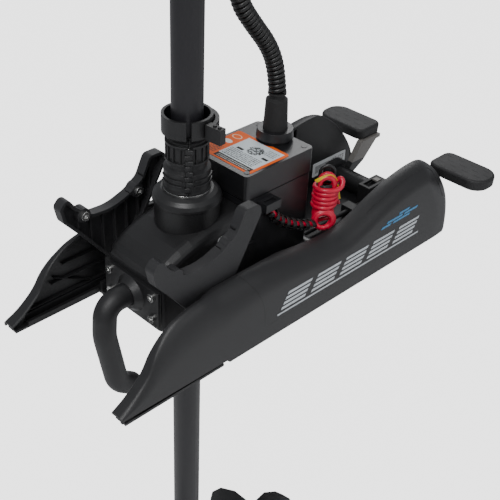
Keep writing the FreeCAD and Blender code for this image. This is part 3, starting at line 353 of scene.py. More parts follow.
def cover_finish():
    """The covers' textured black, darker and sunk along the parting groove."""
    material, shader, here = begin("cover_plastic")
    cloud = texture(here, 18.0, 4.0)
    fine = texture(here, 1100.0, 2.0, 0.6)
    groove = flank_groove(here)
    base = cloud.mix(rgb(0.008, 0.008, 0.0085), rgb(0.014, 0.014, 0.015))
    link(shader, "Base Color", groove.mix(base, rgb(0.004, 0.004, 0.004)))
    link(shader, "Roughness", 0.40 + cloud * 0.12 + (fine - 0.5) * 0.1)
    height = fine * 0.00022 - groove * 0.0012
    bump = here.node("Bump", {"Height": height, "Distance": 1.0, "Strength": 0.7})
    link(shader, "Normal", bump)
    return material


cover_plastic = cover_finish()
cover_stations = [COVER_FRONT + COVER_STEP * k for k in range(int(COVER_LONG / COVER_STEP))] + [COVER_REAR]
for side, hand in SIDES:
    rings = []
    for y in cover_stations:
        line = cover_line(y, 0) + cover_line(y, COVER_WALL)[::-1]
        rings.append([at(hand * x, yy, z) for x, yy, z in line])
    shell = skin("cover_shell_" + side, rings)
    wear(shell, cover_plastic, "base", "cover_" + side)

WALL_RIBS = [(-150, 14, -42, 14), (-112, 33, -42, 33), (-96, 52, -42, 52), (-108, 40, -58, 14)]
RIB_SECTION = ((98, -1), (93, -1), (92.6, 0), (93, 1), (98, 1))
RIB_HALF = 0.6
for side, hand in SIDES:
    for k, (y0, z0, y1, z1) in enumerate(WALL_RIBS):
        reach = math.hypot(y1 - y0, z1 - z0)
        lift = ((z0 - z1) / reach * RIB_HALF, (y1 - y0) / reach * RIB_HALF)
        rings = [[at(hand * x, y + face * lift[0], z + face * lift[1]) for x, face in RIB_SECTION]
                 for y, z in ((y0, z0), (y1, z1))]
        wear(skin("wall_rib_%s_%d" % (side, k), rings), cover_plastic, "base")

HUMP = [(250, 105.4), (262, 107.3), (275, 109), (291, 109), (302, 103.5), (313, 95.5), (324, 87.5),
        (333, 78.5), (345, 64.5), (355, 50.5), (362, 38)]
HUMP_FOOT = 17.0
HUMP_WALL = ((75.2, 1.2), (75.2, 0.0), (77.6, 0.0))
for side, hand in SIDES:
    rings = []
    for x, inset in HUMP_WALL:
        edge = [(x, y, z - inset) for y, z in HUMP] + [(x, HUMP[-1][0], HUMP_FOOT), (x, HUMP[0][0], HUMP_FOOT)]
        rings.append([at(hand * a, b, c) for a, b, c in edge])
    wear(skin("hump_wall_" + side, rings), cover_plastic, "base")

SEAM_HALF = 0.0004
SEAM_PLACES = range(186, 342, 12)
for side, hand in SIDES:
    seam = []
    for y in SEAM_PLACES:
        line = cover_line(y, 0)
        share = held((y - 300) / 40)
        x, _, z = line[int(8 + 6 * share)]
        seam.append(at(hand * (x + 0.1), y, z + 0.1))
    rings = []
    for before, here, after in zip([seam[0]] + seam, seam, seam[1:] + [seam[-1]]):
        out = Vector((hand, 0, 0.7)).normalized()
        wide = (after - before).cross(out).normalized()
        rings.append([here + wide * SEAM_HALF, here + out * SEAM_HALF,
                      here - wide * SEAM_HALF, here - out * SEAM_HALF])
    wear(skin("parting_line_" + side, rings), soft_rubber, "base")

film_silver, film_shader, film_here = begin("film_silver", Metallic=0.25, Coat_Weight=0.3, Coat_Roughness=0.2)
link(film_shader, "Base Color", texture(film_here, 120.0).mix(rgb(0.5, 0.54, 0.57), rgb(0.66, 0.7, 0.73)))
link(film_shader, "Roughness", 0.3 + texture(film_here, 500.0) * 0.12)
film_blue, blue_shader, blue_here = begin("film_blue", Coat_Weight=0.3, Coat_Roughness=0.2)
link(blue_shader, "Base Color", texture(blue_here, 150.0).mix(rgb(0.004, 0.16, 0.36), rgb(0.008, 0.24, 0.5)))
link(blue_shader, "Roughness", 0.28 + texture(blue_here, 500.0) * 0.12)
FILM_THICK = 0.25
STRIPE_GROUPS = 5
STRIPE_BARS = 4
STRIPE_PITCH = 5.4
BLUE_DASHES = [(205, 60, 16), (214, 64, 28), (226, 60, 30), (236, 68, 18), (246, 64, 24)]


def film(name, material, y0, y1, z0, z1, slant=0.0):
    """A film patch on the near flank: a slanted bar between two places along it."""
    corners = [(y0, z0), (y1, z0), (y1 + slant, z1), (y0 + slant, z1)]
    rings = [[at(COVER_OUT + x, y, z) for y, z in corners] for x in (-0.1, FILM_THICK)]
    return wear(skin(name, rings), material, "base")


film("stripe_long", film_silver, 38, 281, 24.6, 26.6)
for group in range(STRIPE_GROUPS):
    for row in range(STRIPE_BARS):
        place = 43 + 47 * group + 3 * row
        rise = STRIPE_PITCH * row
        film("stripe_%d_%d" % (group, row), film_silver, place, place + 37, 30 + rise, 33 + rise, 1.7)
for k, (y, z, reach) in enumerate(BLUE_DASHES):
    film("dash_%d" % k, film_blue, y, y + reach, z, z + 2.6, 2.0)

# ---- Steering housing: sloping front shell, domed tower for the shaft, front plate and rear box.
# Satin black die-cast and moulded parts, screwed together; a thin stainless ring seats the tower.
# The rear box is smoother and glossier, closed by a lid on a rubber gasket.
shell_black = finish("shell_black", rgb(0.006, 0.006, 0.0065), rgb(0.011, 0.011, 0.0115),
                     (0.36, 0.48), 1000, 0.0002)
dress(shell_black, "upper_housing", "dome_cover", "front_plate", "drive_tube")
box_black = finish("box_black", rgb(0.008, 0.008, 0.009), rgb(0.014, 0.014, 0.0155),
                   (0.27, 0.38), 1300, 0.00012)
dress(box_black, "rear_housing", "box_lid", "lid_plugs", "cord_gland", "lead_clamp")
dress(stainless, "dome_ring", "steering_motor", "motor_pinion")
bronze = finish("bronze", rgb(0.45, 0.28, 0.1), rgb(0.6, 0.4, 0.18),
                (0.3, 0.42), 1200, 0.0001, Metallic=1.0)
dress(bronze, "housing_bushes", "pod_bearings")
nylon = finish("nylon", rgb(0.62, 0.6, 0.52), rgb(0.74, 0.72, 0.64), (0.4, 0.5), 800, 0.0001)
dress(nylon, "idler_gear", "output_gear")
board_green = finish("board_green", rgb(0.01, 0.12, 0.04), rgb(0.02, 0.2, 0.07),
                     (0.3, 0.4), 600, 0.0001)
dress(board_green, "control_board", "head_board")

# ---- Lid label: printed film on the lid, an orange field with a pale panel of fine lines.
# Gloss-laminated vinyl with die-cut rounded corners; the print is plain bars and a round sketch.
# Nothing on it can be read: rows of short grey dashes stand for its lines.
label_low, label_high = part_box("lid_label")


def lid_print():
    """The lid label's print: u runs across it and v back along it, both from 0 to 1."""
    material, shader, here = begin("lid_print", Specular_IOR_Level=0.2)
    across = here.node("SeparateXYZ", {0: here}, output=0)
    back = here.node("SeparateXYZ", {0: here}, output=1)
    u = (across - label_low.x) / (label_high.x - label_low.x)
    v = (back - label_low.y) / (label_high.y - label_low.y)

    def patch(u0, u1, v0, v1):
        """1 inside an upright box of the print."""
        return (u > u0) * (u < u1) * (v > v0) * (v < v1)

    def spot(cu, cv, ru, rv):
        """1 inside a round or oval of the print."""
        du = (u - cu) / ru
        dv = (v - cv) / rv
        return (du * du + dv * dv) < 1

    orange = rgb(0.78, 0.115, 0.008)
    paper = rgb(0.6, 0.66, 0.69)
    ink = rgb(0.012, 0.011, 0.01)
    cut = texture(here, 900.0, 1.0)
    rows = here.node("Math", {0: v * 21}, operation="FRACT") > 0.42
    dashes = rows * (cut > 0.46)
    colour = patch(0.26, 0.95, 0.045, 0.93).mix(orange, paper)
    colour = (patch(0.29, 0.88, 0.21, 0.47) * dashes).mix(colour, rgb(0.05, 0.05, 0.05))
    colour = (patch(0.72, 0.92, 0.66, 0.88) * dashes).mix(colour, rgb(0.2, 0.22, 0.23))
    colour = patch(0.26, 0.95, 0.045, 0.175).mix(colour, ink)
    colour = (patch(0.30, 0.91, 0.065, 0.155) * dashes).mix(colour, rgb(0.45, 0.45, 0.43))
    colour = patch(0.34, 0.46, 0.50, 0.56).mix(colour, ink)
    colour = patch(0.80, 0.91, 0.53, 0.59).mix(colour, ink)
    sketch = spot(0.60, 0.66, 0.13, 0.15) * (texture(here, 420.0, 2.0) > 0.47)
    colour = sketch.mix(colour, rgb(0.06, 0.065, 0.065))
    ring = spot(0.12, 0.80, 0.085, 0.075) * (1 - spot(0.12, 0.80, 0.067, 0.057))
    colour = ring.mix(colour, rgb(0.85, 0.6, 0.42))
    colour = spot(0.115, 0.57, 0.085, 0.065).mix(colour, rgb(0.72, 0.72, 0.70))
    colour = (patch(0.03, 0.22, 0.10, 0.36) * (cut > 0.5)).mix(colour, rgb(0.12, 0.05, 0.03))
    link(shader, "Base Color", colour)
    link(shader, "Roughness", 0.5 + texture(here, 60.0) * 0.15)
    return material


dress(lid_print(), "lid_label")

# ---- Rating label: small silver film on the hump's inner wall.
# Brushed foil with a grey print of plain bars.
# Its surface keeps a soft sheen.
rating_low, rating_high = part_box("rating_label")


def rating_print():
    """The rating label's print: a block of bars and a field of fine grey specks."""
    material, shader, here = begin("rating_print", Specular_IOR_Level=0.25)
    back = here.node("SeparateXYZ", {0: here}, output=1)
    up = here.node("SeparateXYZ", {0: here}, output=2)
    u = (back - rating_low.y) / (rating_high.y - rating_low.y)
    v = (up - rating_low.z) / (rating_high.z - rating_low.z)
    bars = here.node("Math", {0: u * 34}, operation="FRACT") > 0.5
    block = (u > 0.08) * (u < 0.5) * (v > 0.2) * (v < 0.75)
    colour = (block * bars).mix(rgb(0.66, 0.68, 0.69), rgb(0.02, 0.02, 0.02))
    fine = (u > 0.56) * (u < 0.94) * (v > 0.2) * (v < 0.8) * (texture(here, 700.0, 1.0) > 0.52)
    link(shader, "Base Color", fine.mix(colour, rgb(0.08, 0.08, 0.085)))
    link(shader, "Roughness", 0.28 + texture(here, 80.0) * 0.14)
    return material


dress(rating_print(), "rating_label")

# ---- Pull handle: rubber-covered J-shaped grip below the front plate.
# A steel core with a moulded rubber sleeve, thicker at its middle, curled at its end.
# It is pulled to tip the whole unit back.
grip_rubber = finish("grip_rubber", rgb(0.006, 0.006, 0.0065), rgb(0.012, 0.012, 0.013),
                     (0.45, 0.58), 800, 0.0003)
dress(grip_rubber, "pull_handle")

# ---- Shaft and depth collar: composite tube in a split collar with ring ribs and hinge knuckles.
# The tube is satin black; the collar halves are glass-filled nylon with a stainless hinge pin.
# A clamp lever wraps the crown and holds the shaft at its height.
shaft_black = finish("shaft_black", rgb(0.009, 0.0085, 0.0105), rgb(0.013, 0.0125, 0.015),
                     (0.36, 0.44), 1600, 0.0001)
dress(shaft_black, "shaft")
collar_black = finish("collar_black", rgb(0.006, 0.006, 0.0065), rgb(0.012, 0.012, 0.0125),
                      (0.40, 0.5), 900, 0.00025)
dress(collar_black, "collar_left", "collar_right", "clamp_lever")
HINGE_TURN = math.radians(-38)
HINGE_OUT = Vector((math.cos(HINGE_TURN), math.sin(HINGE_TURN), 0))
HINGE_ACROSS = Vector((-math.sin(HINGE_TURN), math.cos(HINGE_TURN), 0))
HINGE_R = 23.6
HINGE_LOW = 163
KNUCKLES = 8
BRICK_TALL = 6.0
BAND_RIB = ((23.9, -1), (25.3, -0.8), (25.3, 0.8), (23.9, 1))
BAND_STEPS = 15


BLOCK_BEVEL = 0.5


def block(name, material, body, middle, out, across, sizes):
    """A small moulded block with softened edges, square to out and across."""
    up = out.cross(across)
    corners = ((-1, -1), (1, -1), (1, 1), (-1, 1))
    rings = []
    for depth, inset in ((0, 0), (sizes[0] - BLOCK_BEVEL, 0), (sizes[0], BLOCK_BEVEL)):
        rings.append([middle + (out * depth + across * a * (sizes[1] / 2 - inset)
                                + up * b * (sizes[2] / 2 - inset)) / 1000 for a, b in corners])
    return wear(skin(name, rings), material, body)


for k in range(KNUCKLES):
    middle = at(HINGE_OUT.x * HINGE_R, HINGE_OUT.y * HINGE_R, HINGE_LOW + BRICK_TALL * k)
    hand = 1 if k % 2 else -1
    block("knuckle_%d" % k, collar_black, "collar", middle + HINGE_ACROSS * hand * 0.0016, HINGE_OUT,
          HINGE_ACROSS, (3.1, 5.2, BRICK_TALL - 1.0))
for hand in (-1, 1):
    for k, z in enumerate((165.5, 171.5)):
        rings = []
        for step in range(BAND_STEPS):
            turn = HINGE_TURN + hand * math.radians(14 + 5 * step)
            out = Vector((math.cos(turn), math.sin(turn), 0))
            rings.append([at(out.x * r, out.y * r, z + dz) for r, dz in BAND_RIB])
        wear(skin("band_rib_%d_%d" % (k, hand + 1), rings), collar_black, "collar")
    for k, turn_deg in enumerate((22, 44, 66, 88)):
        turn = HINGE_TURN + hand * math.radians(turn_deg)
        out = Vector((math.cos(turn), math.sin(turn), 0))
        across = Vector((-math.sin(turn), math.cos(turn), 0))
        block("neck_rib_%d_%d" % (k, hand + 1), collar_black, "collar",
              at(out.x * 20.1, out.y * 20.1, 197.7), out, across, (2.0, 1.8, 16.6))

# ---- Motor head: two-part plastic case on the shaft's top, with the control board inside.
# Satin black, in two halves joined by a thin seam.
# The curly cord enters it underneath.
HEAD_HALF = (52.0, 77.0)
HEAD_MIDDLE_Y = 15.0
HEAD_SQUARE = 0.75
HEAD_STEPS = 72
HEAD_LOWER = [(500, 0.775), (500.6, 0.80), (502.5, 0.845), (505.5, 0.895), (509, 0.93), (514, 0.958),
              (521, 0.98), (528, 0.993), (531.2, 0.997), (531.8, 0.985)]
HEAD_UPPER = [(532.2, 0.985), (532.8, 0.997), (537, 0.996), (544, 0.985), (551, 0.965), (557, 0.938),
              (562, 0.90), (566, 0.855), (569.5, 0.79), (572, 0.72), (573.4, 0.64), (573.9, 0.55),
              (574, 0.4)]
for name, levels in (("head_lower", HEAD_LOWER), ("head_upper", HEAD_UPPER)):
    rings = []
    for z, scale in levels:
        ring = []
        for k in range(HEAD_STEPS):
            turn = 2 * math.pi * k / HEAD_STEPS
            cos, sin = math.cos(turn), math.sin(turn)
            across = HEAD_HALF[0] * scale * math.copysign(abs(cos) ** HEAD_SQUARE, cos)
            back = HEAD_HALF[1] * scale * math.copysign(abs(sin) ** HEAD_SQUARE, sin)
            ring.append(at(across, HEAD_MIDDLE_Y + back, z))
        rings.append(ring)
    wear(skin(name.replace("head", "head_case"), rings, crease=50), shell_black, "shaft_unit", name)

HEAD_FOOT = [(21, 492), (21, 498), (22.5, 500.2)]
GLAND_FOOT = [(12, 488), (12, 497), (13.5, 500.2)]
FOOT_TURNS = [2 * math.pi * k / 40 for k in range(40)]
for name, centre_y, profile, bore in (("shaft_socket", 0, HEAD_FOOT, 16.05),
                                      ("head_gland", 51, GLAND_FOOT, 9.8)):
    rings = []
    for radius, z in [(bore, 500.2), (bore, profile[0][1])] + profile:
        rings.append([at(radius * math.cos(turn), centre_y + radius * math.sin(turn), z)
                      for turn in FOOT_TURNS])
    wear(skin(name, rings, capped=False), shell_black, "shaft_unit")

# ---- Drive pod: painted aluminium barrel with nose cone, tail bell and skeg, and its propeller.
# Permanent-magnet motor inside: ferrite magnets, laminated armature, brushes and bearings.
# The weedless propeller is moulded in tough black plastic.
pod_paint = finish("pod_paint", rgb(0.007, 0.007, 0.008), rgb(0.012, 0.012, 0.013),
                   (0.25, 0.36), 1200, 0.0001)
dress(pod_paint, "pod_body", "pod_nose", "pod_tail")
dress(collar_black, "propeller")
ferrite = finish("ferrite", rgb(0.05, 0.05, 0.05), rgb(0.09, 0.09, 0.09), (0.6, 0.75), 900, 0.0002)
dress(ferrite, "field_magnets")
laminated = finish("laminated", rgb(0.22, 0.16, 0.12), rgb(0.34, 0.24, 0.16),
                   (0.4, 0.5), 900, 0.0001, Metallic=0.8)
dress(laminated, "armature")

# ---- Foot pedals: grey-painted tube and brackets across the rear, a rubber pad each side.
# Pressing a pad turns the tube, and its lug draws the latch bolt back.
# The pads are moulded rubber with rows of short grooves on top.
PEDAL_AXIS = at(0, 326, 17.4)
PEDAL_TUBE = 0.0137


def pedal_paint():
    """Black on the tube, and black as painted shade on everything low near the deck; warm grey on the brackets
    welded to it.
    """
    material, shader, here = begin("pedal_paint")
    back = here.node("SeparateXYZ", {0: here}, output=1) - PEDAL_AXIS.y
    up = here.node("SeparateXYZ", {0: here}, output=2) - PEDAL_AXIS.z
    near_tube = (back * back + up * up) < PEDAL_TUBE ** 2
    # Below this height the grey frame is painted black as painted shade down in the deck well.
    low = up < 0.018
    tube_black_and_painted_shade = here.node("Math", {0: near_tube, 1: low}, operation="MAXIMUM")
    cloud = texture(here, 30.0, 4.0)
    grey = cloud.mix(rgb(0.115, 0.108, 0.1), rgb(0.165, 0.157, 0.148))
    link(shader, "Base Color", tube_black_and_painted_shade.mix(grey, rgb(0.007, 0.007, 0.0075)))
    link(shader, "Roughness", 0.36 + cloud * 0.14)
    soft = here.node("Bevel", {"Radius": 0.0008}, samples=EDGE_SAMPLES)
    bump = here.node("Bump", {"Height": texture(here, 800.0), "Distance": 0.0002, "Normal": soft})
    link(shader, "Normal", bump)
    return material


dress(pedal_paint(), "pedal_frame")
SPRING_WIRE = 1.2
SPRING_TURNS = 8
SPRING_STEPS = 24
SPRING_R = 14.6
SPRING_X = (11.4, 38.6)
WIRE_TURNS = [k * math.pi / 4 for k in range(8)]
rings = []
for k in range(SPRING_TURNS * SPRING_STEPS + 1):
    turn = 2 * math.pi * k / SPRING_STEPS
    x = SPRING_X[0] + (SPRING_X[1] - SPRING_X[0]) * k / (SPRING_TURNS * SPRING_STEPS)
    out = Vector((0, math.cos(turn), math.sin(turn)))
    rings.append([PEDAL_AXIS + Vector((x + SPRING_WIRE * math.cos(round_it), 0, 0)) / 1000
                  + out * (SPRING_R + SPRING_WIRE * math.sin(round_it)) / 1000 for round_it in WIRE_TURNS])
spring_steel = finish("spring_steel", rgb(0.16, 0.16, 0.16), rgb(0.26, 0.26, 0.25),
                      (0.3, 0.42), 1500, 0.00005, Metallic=1.0)
wear(skin("return_spring", rings, crease=60), spring_steel, "pedal", "pedal_spring")

pad_low, pad_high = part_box("pedal_pads")
PAD_X = (53.0, 131.0)
PAD_Y = (352.0, 397.0)
PAD_Z = (61.0, 75.5)
PAD_OUTER_R = 20.0
PAD_INNER_R = 11.0
PAD_EDGE = 3.6
PAD_FOOT = ((0, 2.6), (0.8, 1.4), (2.0, 0.4))
EDGE_STEPS = 6
CORNER_STEPS = 12
TREAD_ROW = 0.0095
TREAD_PITCH = 0.017


def pad_outline(inset):
    """Once round a pad: two tight corners on the inside, two wide ones on the outside."""
    line = []
    corners = ((PAD_X[1], PAD_Y[1], 1, 1, PAD_OUTER_R), (PAD_X[0], PAD_Y[1], -1, 1, PAD_INNER_R),
               (PAD_X[0], PAD_Y[0], -1, -1, PAD_INNER_R), (PAD_X[1], PAD_Y[0], 1, -1, PAD_OUTER_R))
    for quarter, (x, y, right_hand, rear, radius) in enumerate(corners):
        for k in range(CORNER_STEPS + 1):
            turn = math.pi / 2 * (quarter + k / CORNER_STEPS)
            line.append((x - right_hand * radius + (radius - inset) * math.cos(turn),
                         y - rear * radius + (radius - inset) * math.sin(turn)))
    return line


def pad_rubber():
    """Rows of short grooves on the tread, sunk by a bump and painted near-black as painted shade in them."""
    material, shader, here = begin("pad_rubber")
    across = here.node("SeparateXYZ", {0: here}, output=0)
    back = here.node("SeparateXYZ", {0: here}, output=1)
    up = here.node("SeparateXYZ", {0: here}, output=2)
    row = (back - pad_low.y) / TREAD_ROW
    which = here.node("Math", {0: row}, operation="FLOOR")
    shift = here.node("Math", {0: which * 0.5}, operation="FRACT") * 0.9
    place = here.node("Math", {0: across / TREAD_PITCH + shift + 20.0}, operation="FRACT")
    arch = (place - 0.28) * (place - 0.28) * 1.6
    level = here.node("Math", {0: row}, operation="FRACT") - arch
    dash = (place < 0.52) * (level > 0.34) * (level < 0.50) * (up > pad_high.z - 0.0006)
    fine = texture(here, 700.0)
    cloud = texture(here, 40.0, 4.0)
    # The grooves' near-black colour is painted shade, not the rubber's own colour.
    link(shader, "Base Color", dash.mix(cloud.mix(rgb(0.007, 0.007, 0.0075), rgb(0.013, 0.013, 0.0135)),
                                        rgb(0.0008, 0.0008, 0.0008)))
    link(shader, "Roughness", 0.52 + cloud * 0.16)
    link(shader, "Normal", here.node("Bump", {"Height": fine * 0.0003 - dash * 0.0012, "Distance": 1.0}))
    return material


tread = pad_rubber()
for side, hand in SIDES:
    rings = [[at(hand * x, y, PAD_Z[0] + rise) for x, y in pad_outline(inset)] for rise, inset in PAD_FOOT]
    for k in range(EDGE_STEPS + 1):
        turn = math.pi / 2 * k / EDGE_STEPS
        rings.append([at(hand * x, y, PAD_Z[1] - PAD_EDGE * (1 - math.sin(turn)))
                      for x, y in pad_outline(PAD_EDGE * (1 - math.cos(turn)))])
    wear(skin("foot_pad_" + side, rings), tread, "pedal", *(["pedal_pads"] if hand > 0 else []))

# ---- Curly cord: coiled signal cord from the box's boot up to the motor head.
# Polyurethane sheath over thin cores, wound in tight rings and set by heat.
# It is built as a lower and an upper coil, end to end.
cord_black = finish("cord_black", rgb(0.004, 0.004, 0.004), rgb(0.009, 0.009, 0.009),
                    (0.3, 0.42), 900, 0.0001)
CURLY_LOWER = [(0, 127, 219), (0, 123.5, 246), (0, 110, 275), (0, 86, 303), (0, 64.5, 331), (0, 58.5, 358)]
CURLY_UPPER = [(0, 58.5, 358), (0, 54, 378.25), (0, 51, 424), (0, 51, 488)]
COIL_R = 0.0074
COIL_WIRE = 0.0025
COIL_PITCH = 0.0057
TURN_POINTS = 14


def cord_curve(name, points, radius, sides=3):
    """A smooth cord through given points, round in section."""
    curve = bpy.data.curves.new(name, "CURVE")
    curve.dimensions = "3D"
    curve.resolution_u = 8
    curve.bevel_depth = radius
    curve.bevel_resolution = sides
    curve.use_fill_caps = radius > 0
    spline = curve.splines.new("NURBS")
    spline.points.add(len(points) - 1)
    for knot, point in zip(spline.points, points):
        knot.co = (*point, 1)
    spline.order_u = 3
    spline.use_endpoint_u = True
    piece = bpy.data.objects.new(name, curve)
    bpy.context.scene.collection.objects.link(piece)
    return piece


def centre_line(points, finer=8):
    """The points of the smooth line that a cord of these points follows."""
    piece = cord_curve("route", points, 0)
    piece.data.resolution_u = finer
    bpy.context.view_layer.update()
    mesh = bpy.data.meshes.new_from_object(piece.evaluated_get(bpy.context.evaluated_depsgraph_get()))
    line = [v.co.copy() for v in mesh.vertices]
    bpy.data.objects.remove(piece)
    return line


def length_of(line):
    """The distance along a line, point to point."""
    return sum((b - a).length for a, b in zip(line, line[1:]))


def place_along(line, distance):
    """Point and direction at a distance along a line."""
    for a, b in zip(line, line[1:]):
        step = (b - a).length
        if distance <= step or b is line[-1]:
            return a + (b - a) * (distance / step), (b - a).normalized()
        distance -= step


def helix(route, pitch, radius):
    """Points wound round a route in the plane x = 0, starting and ending on its x side."""
    line = centre_line([at(*p) for p in route], 24)
    total = length_of(line)
    turns = round(total / pitch)
    points = []
    for k in range(turns * TURN_POINTS + 1):
        centre, ahead = place_along(line, total * k / (turns * TURN_POINTS))
        angle = 2 * math.pi * k / TURN_POINTS
        side = Vector((1, 0, 0))
        points.append(centre + radius * (side * math.cos(angle) + ahead.cross(side) * math.sin(angle)))
    return points


def as_mesh(piece):
    """The same piece with its curve turned into a mesh."""
    name = piece.name
    bpy.context.view_layer.update()
    mesh = bpy.data.meshes.new_from_object(piece.evaluated_get(bpy.context.evaluated_depsgraph_get()))
    bpy.data.objects.remove(piece)
    made = bpy.data.objects.new(name, mesh)
    bpy.context.scene.collection.objects.link(made)
    for face in mesh.polygons:
        face.use_smooth = True
    return made


for name, route, ends in (("curly_lower", CURLY_LOWER, ("tilt_unit", "collar")),
                          ("curly_upper", CURLY_UPPER, ("collar", "shaft_unit"))):
    wound = helix(route, COIL_PITCH, COIL_R)
    coil = as_mesh(cord_curve(name.replace("curly", "curly_cord"), wound, COIL_WIRE))
    coil.data.materials.append(cord_black)
    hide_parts(name)
    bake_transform(coil)
    path = centre_line(wound, 4)

# ---- Battery leads: a red and a black lead in a flat spiral wrap, then tied up in a hank.
# PVC sheath, the red 5.5 mm across and the black 3.8 mm; the wrap is a black plastic strip with gaps.
# The hank is a few long loops bound by the lead's own turns, with a yellow tie strip.
LEADS = [(49.6, 72, 118.6), (50.4, 79, 107.5), (52.2, 91, 97.5), (54.6, 104.5, 89.5), (57, 119, 83),
         (58.4, 133.5, 78.5)]
lead_red = finish("lead_red", rgb(0.42, 0.002, 0.022), rgb(0.58, 0.005, 0.04),
                  (0.26, 0.36), 900, 0.0001)
lead_black = finish("lead_black", rgb(0.006, 0.006, 0.006), rgb(0.012, 0.012, 0.012),
                    (0.3, 0.4), 900, 0.0001)
wrap_black = finish("wrap_black", rgb(0.005, 0.005, 0.005), rgb(0.01, 0.01, 0.01),
                    (0.28, 0.36), 900, 0.0001)
tag_yellow = finish("tag_yellow", rgb(0.62, 0.42, 0.01), rgb(0.78, 0.56, 0.02),
                    (0.35, 0.45), 600, 0.0001)
RED_R = 2.75
BLACK_R = 1.9
HANK_MID = Vector((57.8, 151, 0))
HANK_ALONG = Vector((0.695, 0.719, 0))
HANK_OUT = Vector((0.719, -0.695, 0))
WRAP_LOW = 98.0
WRAP_PITCH = 5.4
WRAP_TURNS = 4
WRAP_POINTS = 12
WRAP_OVERRUN = 8
HANK_LOOP = [(0, 76), (7, 77), (10, 82), (9, 90), (6.2, 98), (5, 107), (6, 116), (8.2, 123),
             (6.3, 129.5), (0, 132.5), (-6.3, 129.5), (-8.2, 123), (-6, 116), (-5, 107), (-6.2, 98),
             (-9, 90), (-10, 82), (-7, 77)]
RING_Z = 83.0
RING_LAST = 26


def in_hank(along_it, out, z):
    """A point of the hank: along its width, out towards the near front, and up."""
    lean = 0.06 * (z - 100)
    spot = HANK_MID + HANK_ALONG * along_it + HANK_OUT * out
    return at(spot.x, spot.y + lean, z)


def wraps(wide, deep, start_z):
    """Turns wound down round the middle of the hank, each a little different."""
    points = []
    for k in range(WRAP_TURNS * WRAP_POINTS + WRAP_OVERRUN):
        turn = -2 * math.pi * k / WRAP_POINTS
        slack = 1 - 0.05 * (k // WRAP_POINTS % 2)
        points.append(in_hank(wide * slack * math.sin(turn), deep * slack * math.cos(turn) - 1.9,
                              start_z - WRAP_PITCH * k / WRAP_POINTS))
    return points


def lead(name, radius, material, points):
    """One battery lead, standing with the other for the wrapped leads and their hank."""
    piece = cord_curve(name, points, radius / 1000, 4)
    wear(piece, material, "tilt_unit", "power_leads", "power_hank")
    path = centre_line(points)


wrap_top = WRAP_LOW + WRAP_PITCH * WRAP_TURNS
run_in = [at(x + 0.8, y - 0.4, z + 1.7) for x, y, z in LEADS]
ring_turns = []
for k in range(RING_LAST + 1):
    turn = math.radians(-100 + 28.8 * k)
    wide = 12.4 - 3.6 * k / RING_LAST
    ring_turns.append(in_hank(wide * math.cos(turn), 8.0 + 3.4 * k / RING_LAST, RING_Z + wide * math.sin(turn)))
red_loops = [in_hank(a, 3.0, z) for a, z in HANK_LOOP[2:]] + [in_hank(a, -2.4, z + 1.5) for a, z in HANK_LOOP]
red_rise = [in_hank(8, 7.5, 77.5)]
RED_EAR = [(0, -2.5, 77), (8, -3, 79), (9, -4, 92), (8, -4, 112), (10, -4, 122), (14, -3, 129), (17, 0, 127),
           (16, 4, 121), (10, 8, 119)]
red_ear = [in_hank(*place) for place in RED_EAR]
red_turns = wraps(12.8, 12.3, wrap_top)
red_end = [in_hank(12.5, -11.5, 93), in_hank(18, -9.5, 95)]
lead("red_lead", RED_R, lead_red, run_in + ring_turns + red_rise + red_loops + red_ear + red_turns + red_end)
run_back = [at(x - 0.9, y + 0.4, z - 2.4) for x, y, z in LEADS]
black_loop = [in_hank(a * 1.02, -8.1, z + (8 if 118 < z < 140 else 0)) for a, z in HANK_LOOP]
BLACK_RISE = [(0, -8.3, 77), (9, -9, 80), (8.5, -9, 92), (8, -8, 112), (9.5, -1, 120)]
black_rise = [in_hank(*place) for place in BLACK_RISE]
black_turns = wraps(9.8, 9.4, wrap_top + WRAP_PITCH / 2)
black_end = [in_hank(8, -9.5, 95.5), in_hank(11.5, -8.5, 93)]
lead("black_lead", BLACK_R, lead_black, run_back + black_loop + black_rise + black_turns + black_end)

WRAP_COILS = 7
COIL_STEPS = 22
STRIP_WIDE = 5.6
STRIP_THICK = 0.9
STRIP_SECTION = ((0, -0.5), (0, 0.5), (0.7, 0.5), (1, 0.36), (1, -0.36), (0.7, -0.5))
WRAP_INSIDE = 5.5
wrap_line = centre_line([at(*p) for p in LEADS], 24)
wrap_length = length_of(wrap_line)
rings = []
for k in range(WRAP_COILS * COIL_STEPS + 1):
    share = k / (WRAP_COILS * COIL_STEPS)
    centre, ahead = place_along(wrap_line, wrap_length * (0.03 + 0.94 * share))
    side = ahead.cross(Vector((0, 0, 1))).normalized()
    turn = 2 * math.pi * k / COIL_STEPS
    out = side * math.cos(turn) + ahead.cross(side) * math.sin(turn)
    rings.append([centre + out * (WRAP_INSIDE + STRIP_THICK * up) / 1000 + ahead * STRIP_WIDE * wide / 1000
                  for up, wide in STRIP_SECTION])
wear(skin("spiral_wrap", rings), wrap_black, "tilt_unit")

TAG_LINE = [(-13, 3, 127), (-9, 5, 131), (-2, 4, 134), (4, 1, 133), (9, -2, 127), (13, -4, 114), (16, -6, 101)]
TAG_WIDE = 4.2
TAG_THICK = 0.7
TAG_STEPS = 40
tag_line = centre_line([in_hank(*p) for p in TAG_LINE], 8)
rings = []
face = HANK_OUT.normalized()
for k in range(TAG_STEPS + 1):
    centre, ahead = place_along(tag_line, length_of(tag_line) * min(k / TAG_STEPS, 0.999))
    breadth = ahead.cross(face).normalized()
    rings.append([centre + (breadth * TAG_WIDE * w + face * TAG_THICK * t) / 1000
                  for w, t in ((-0.5, 0), (0.5, 0), (0.5, 1), (-0.5, 1))])
wear(skin("tie_strip", rings), tag_yellow, "tilt_unit")

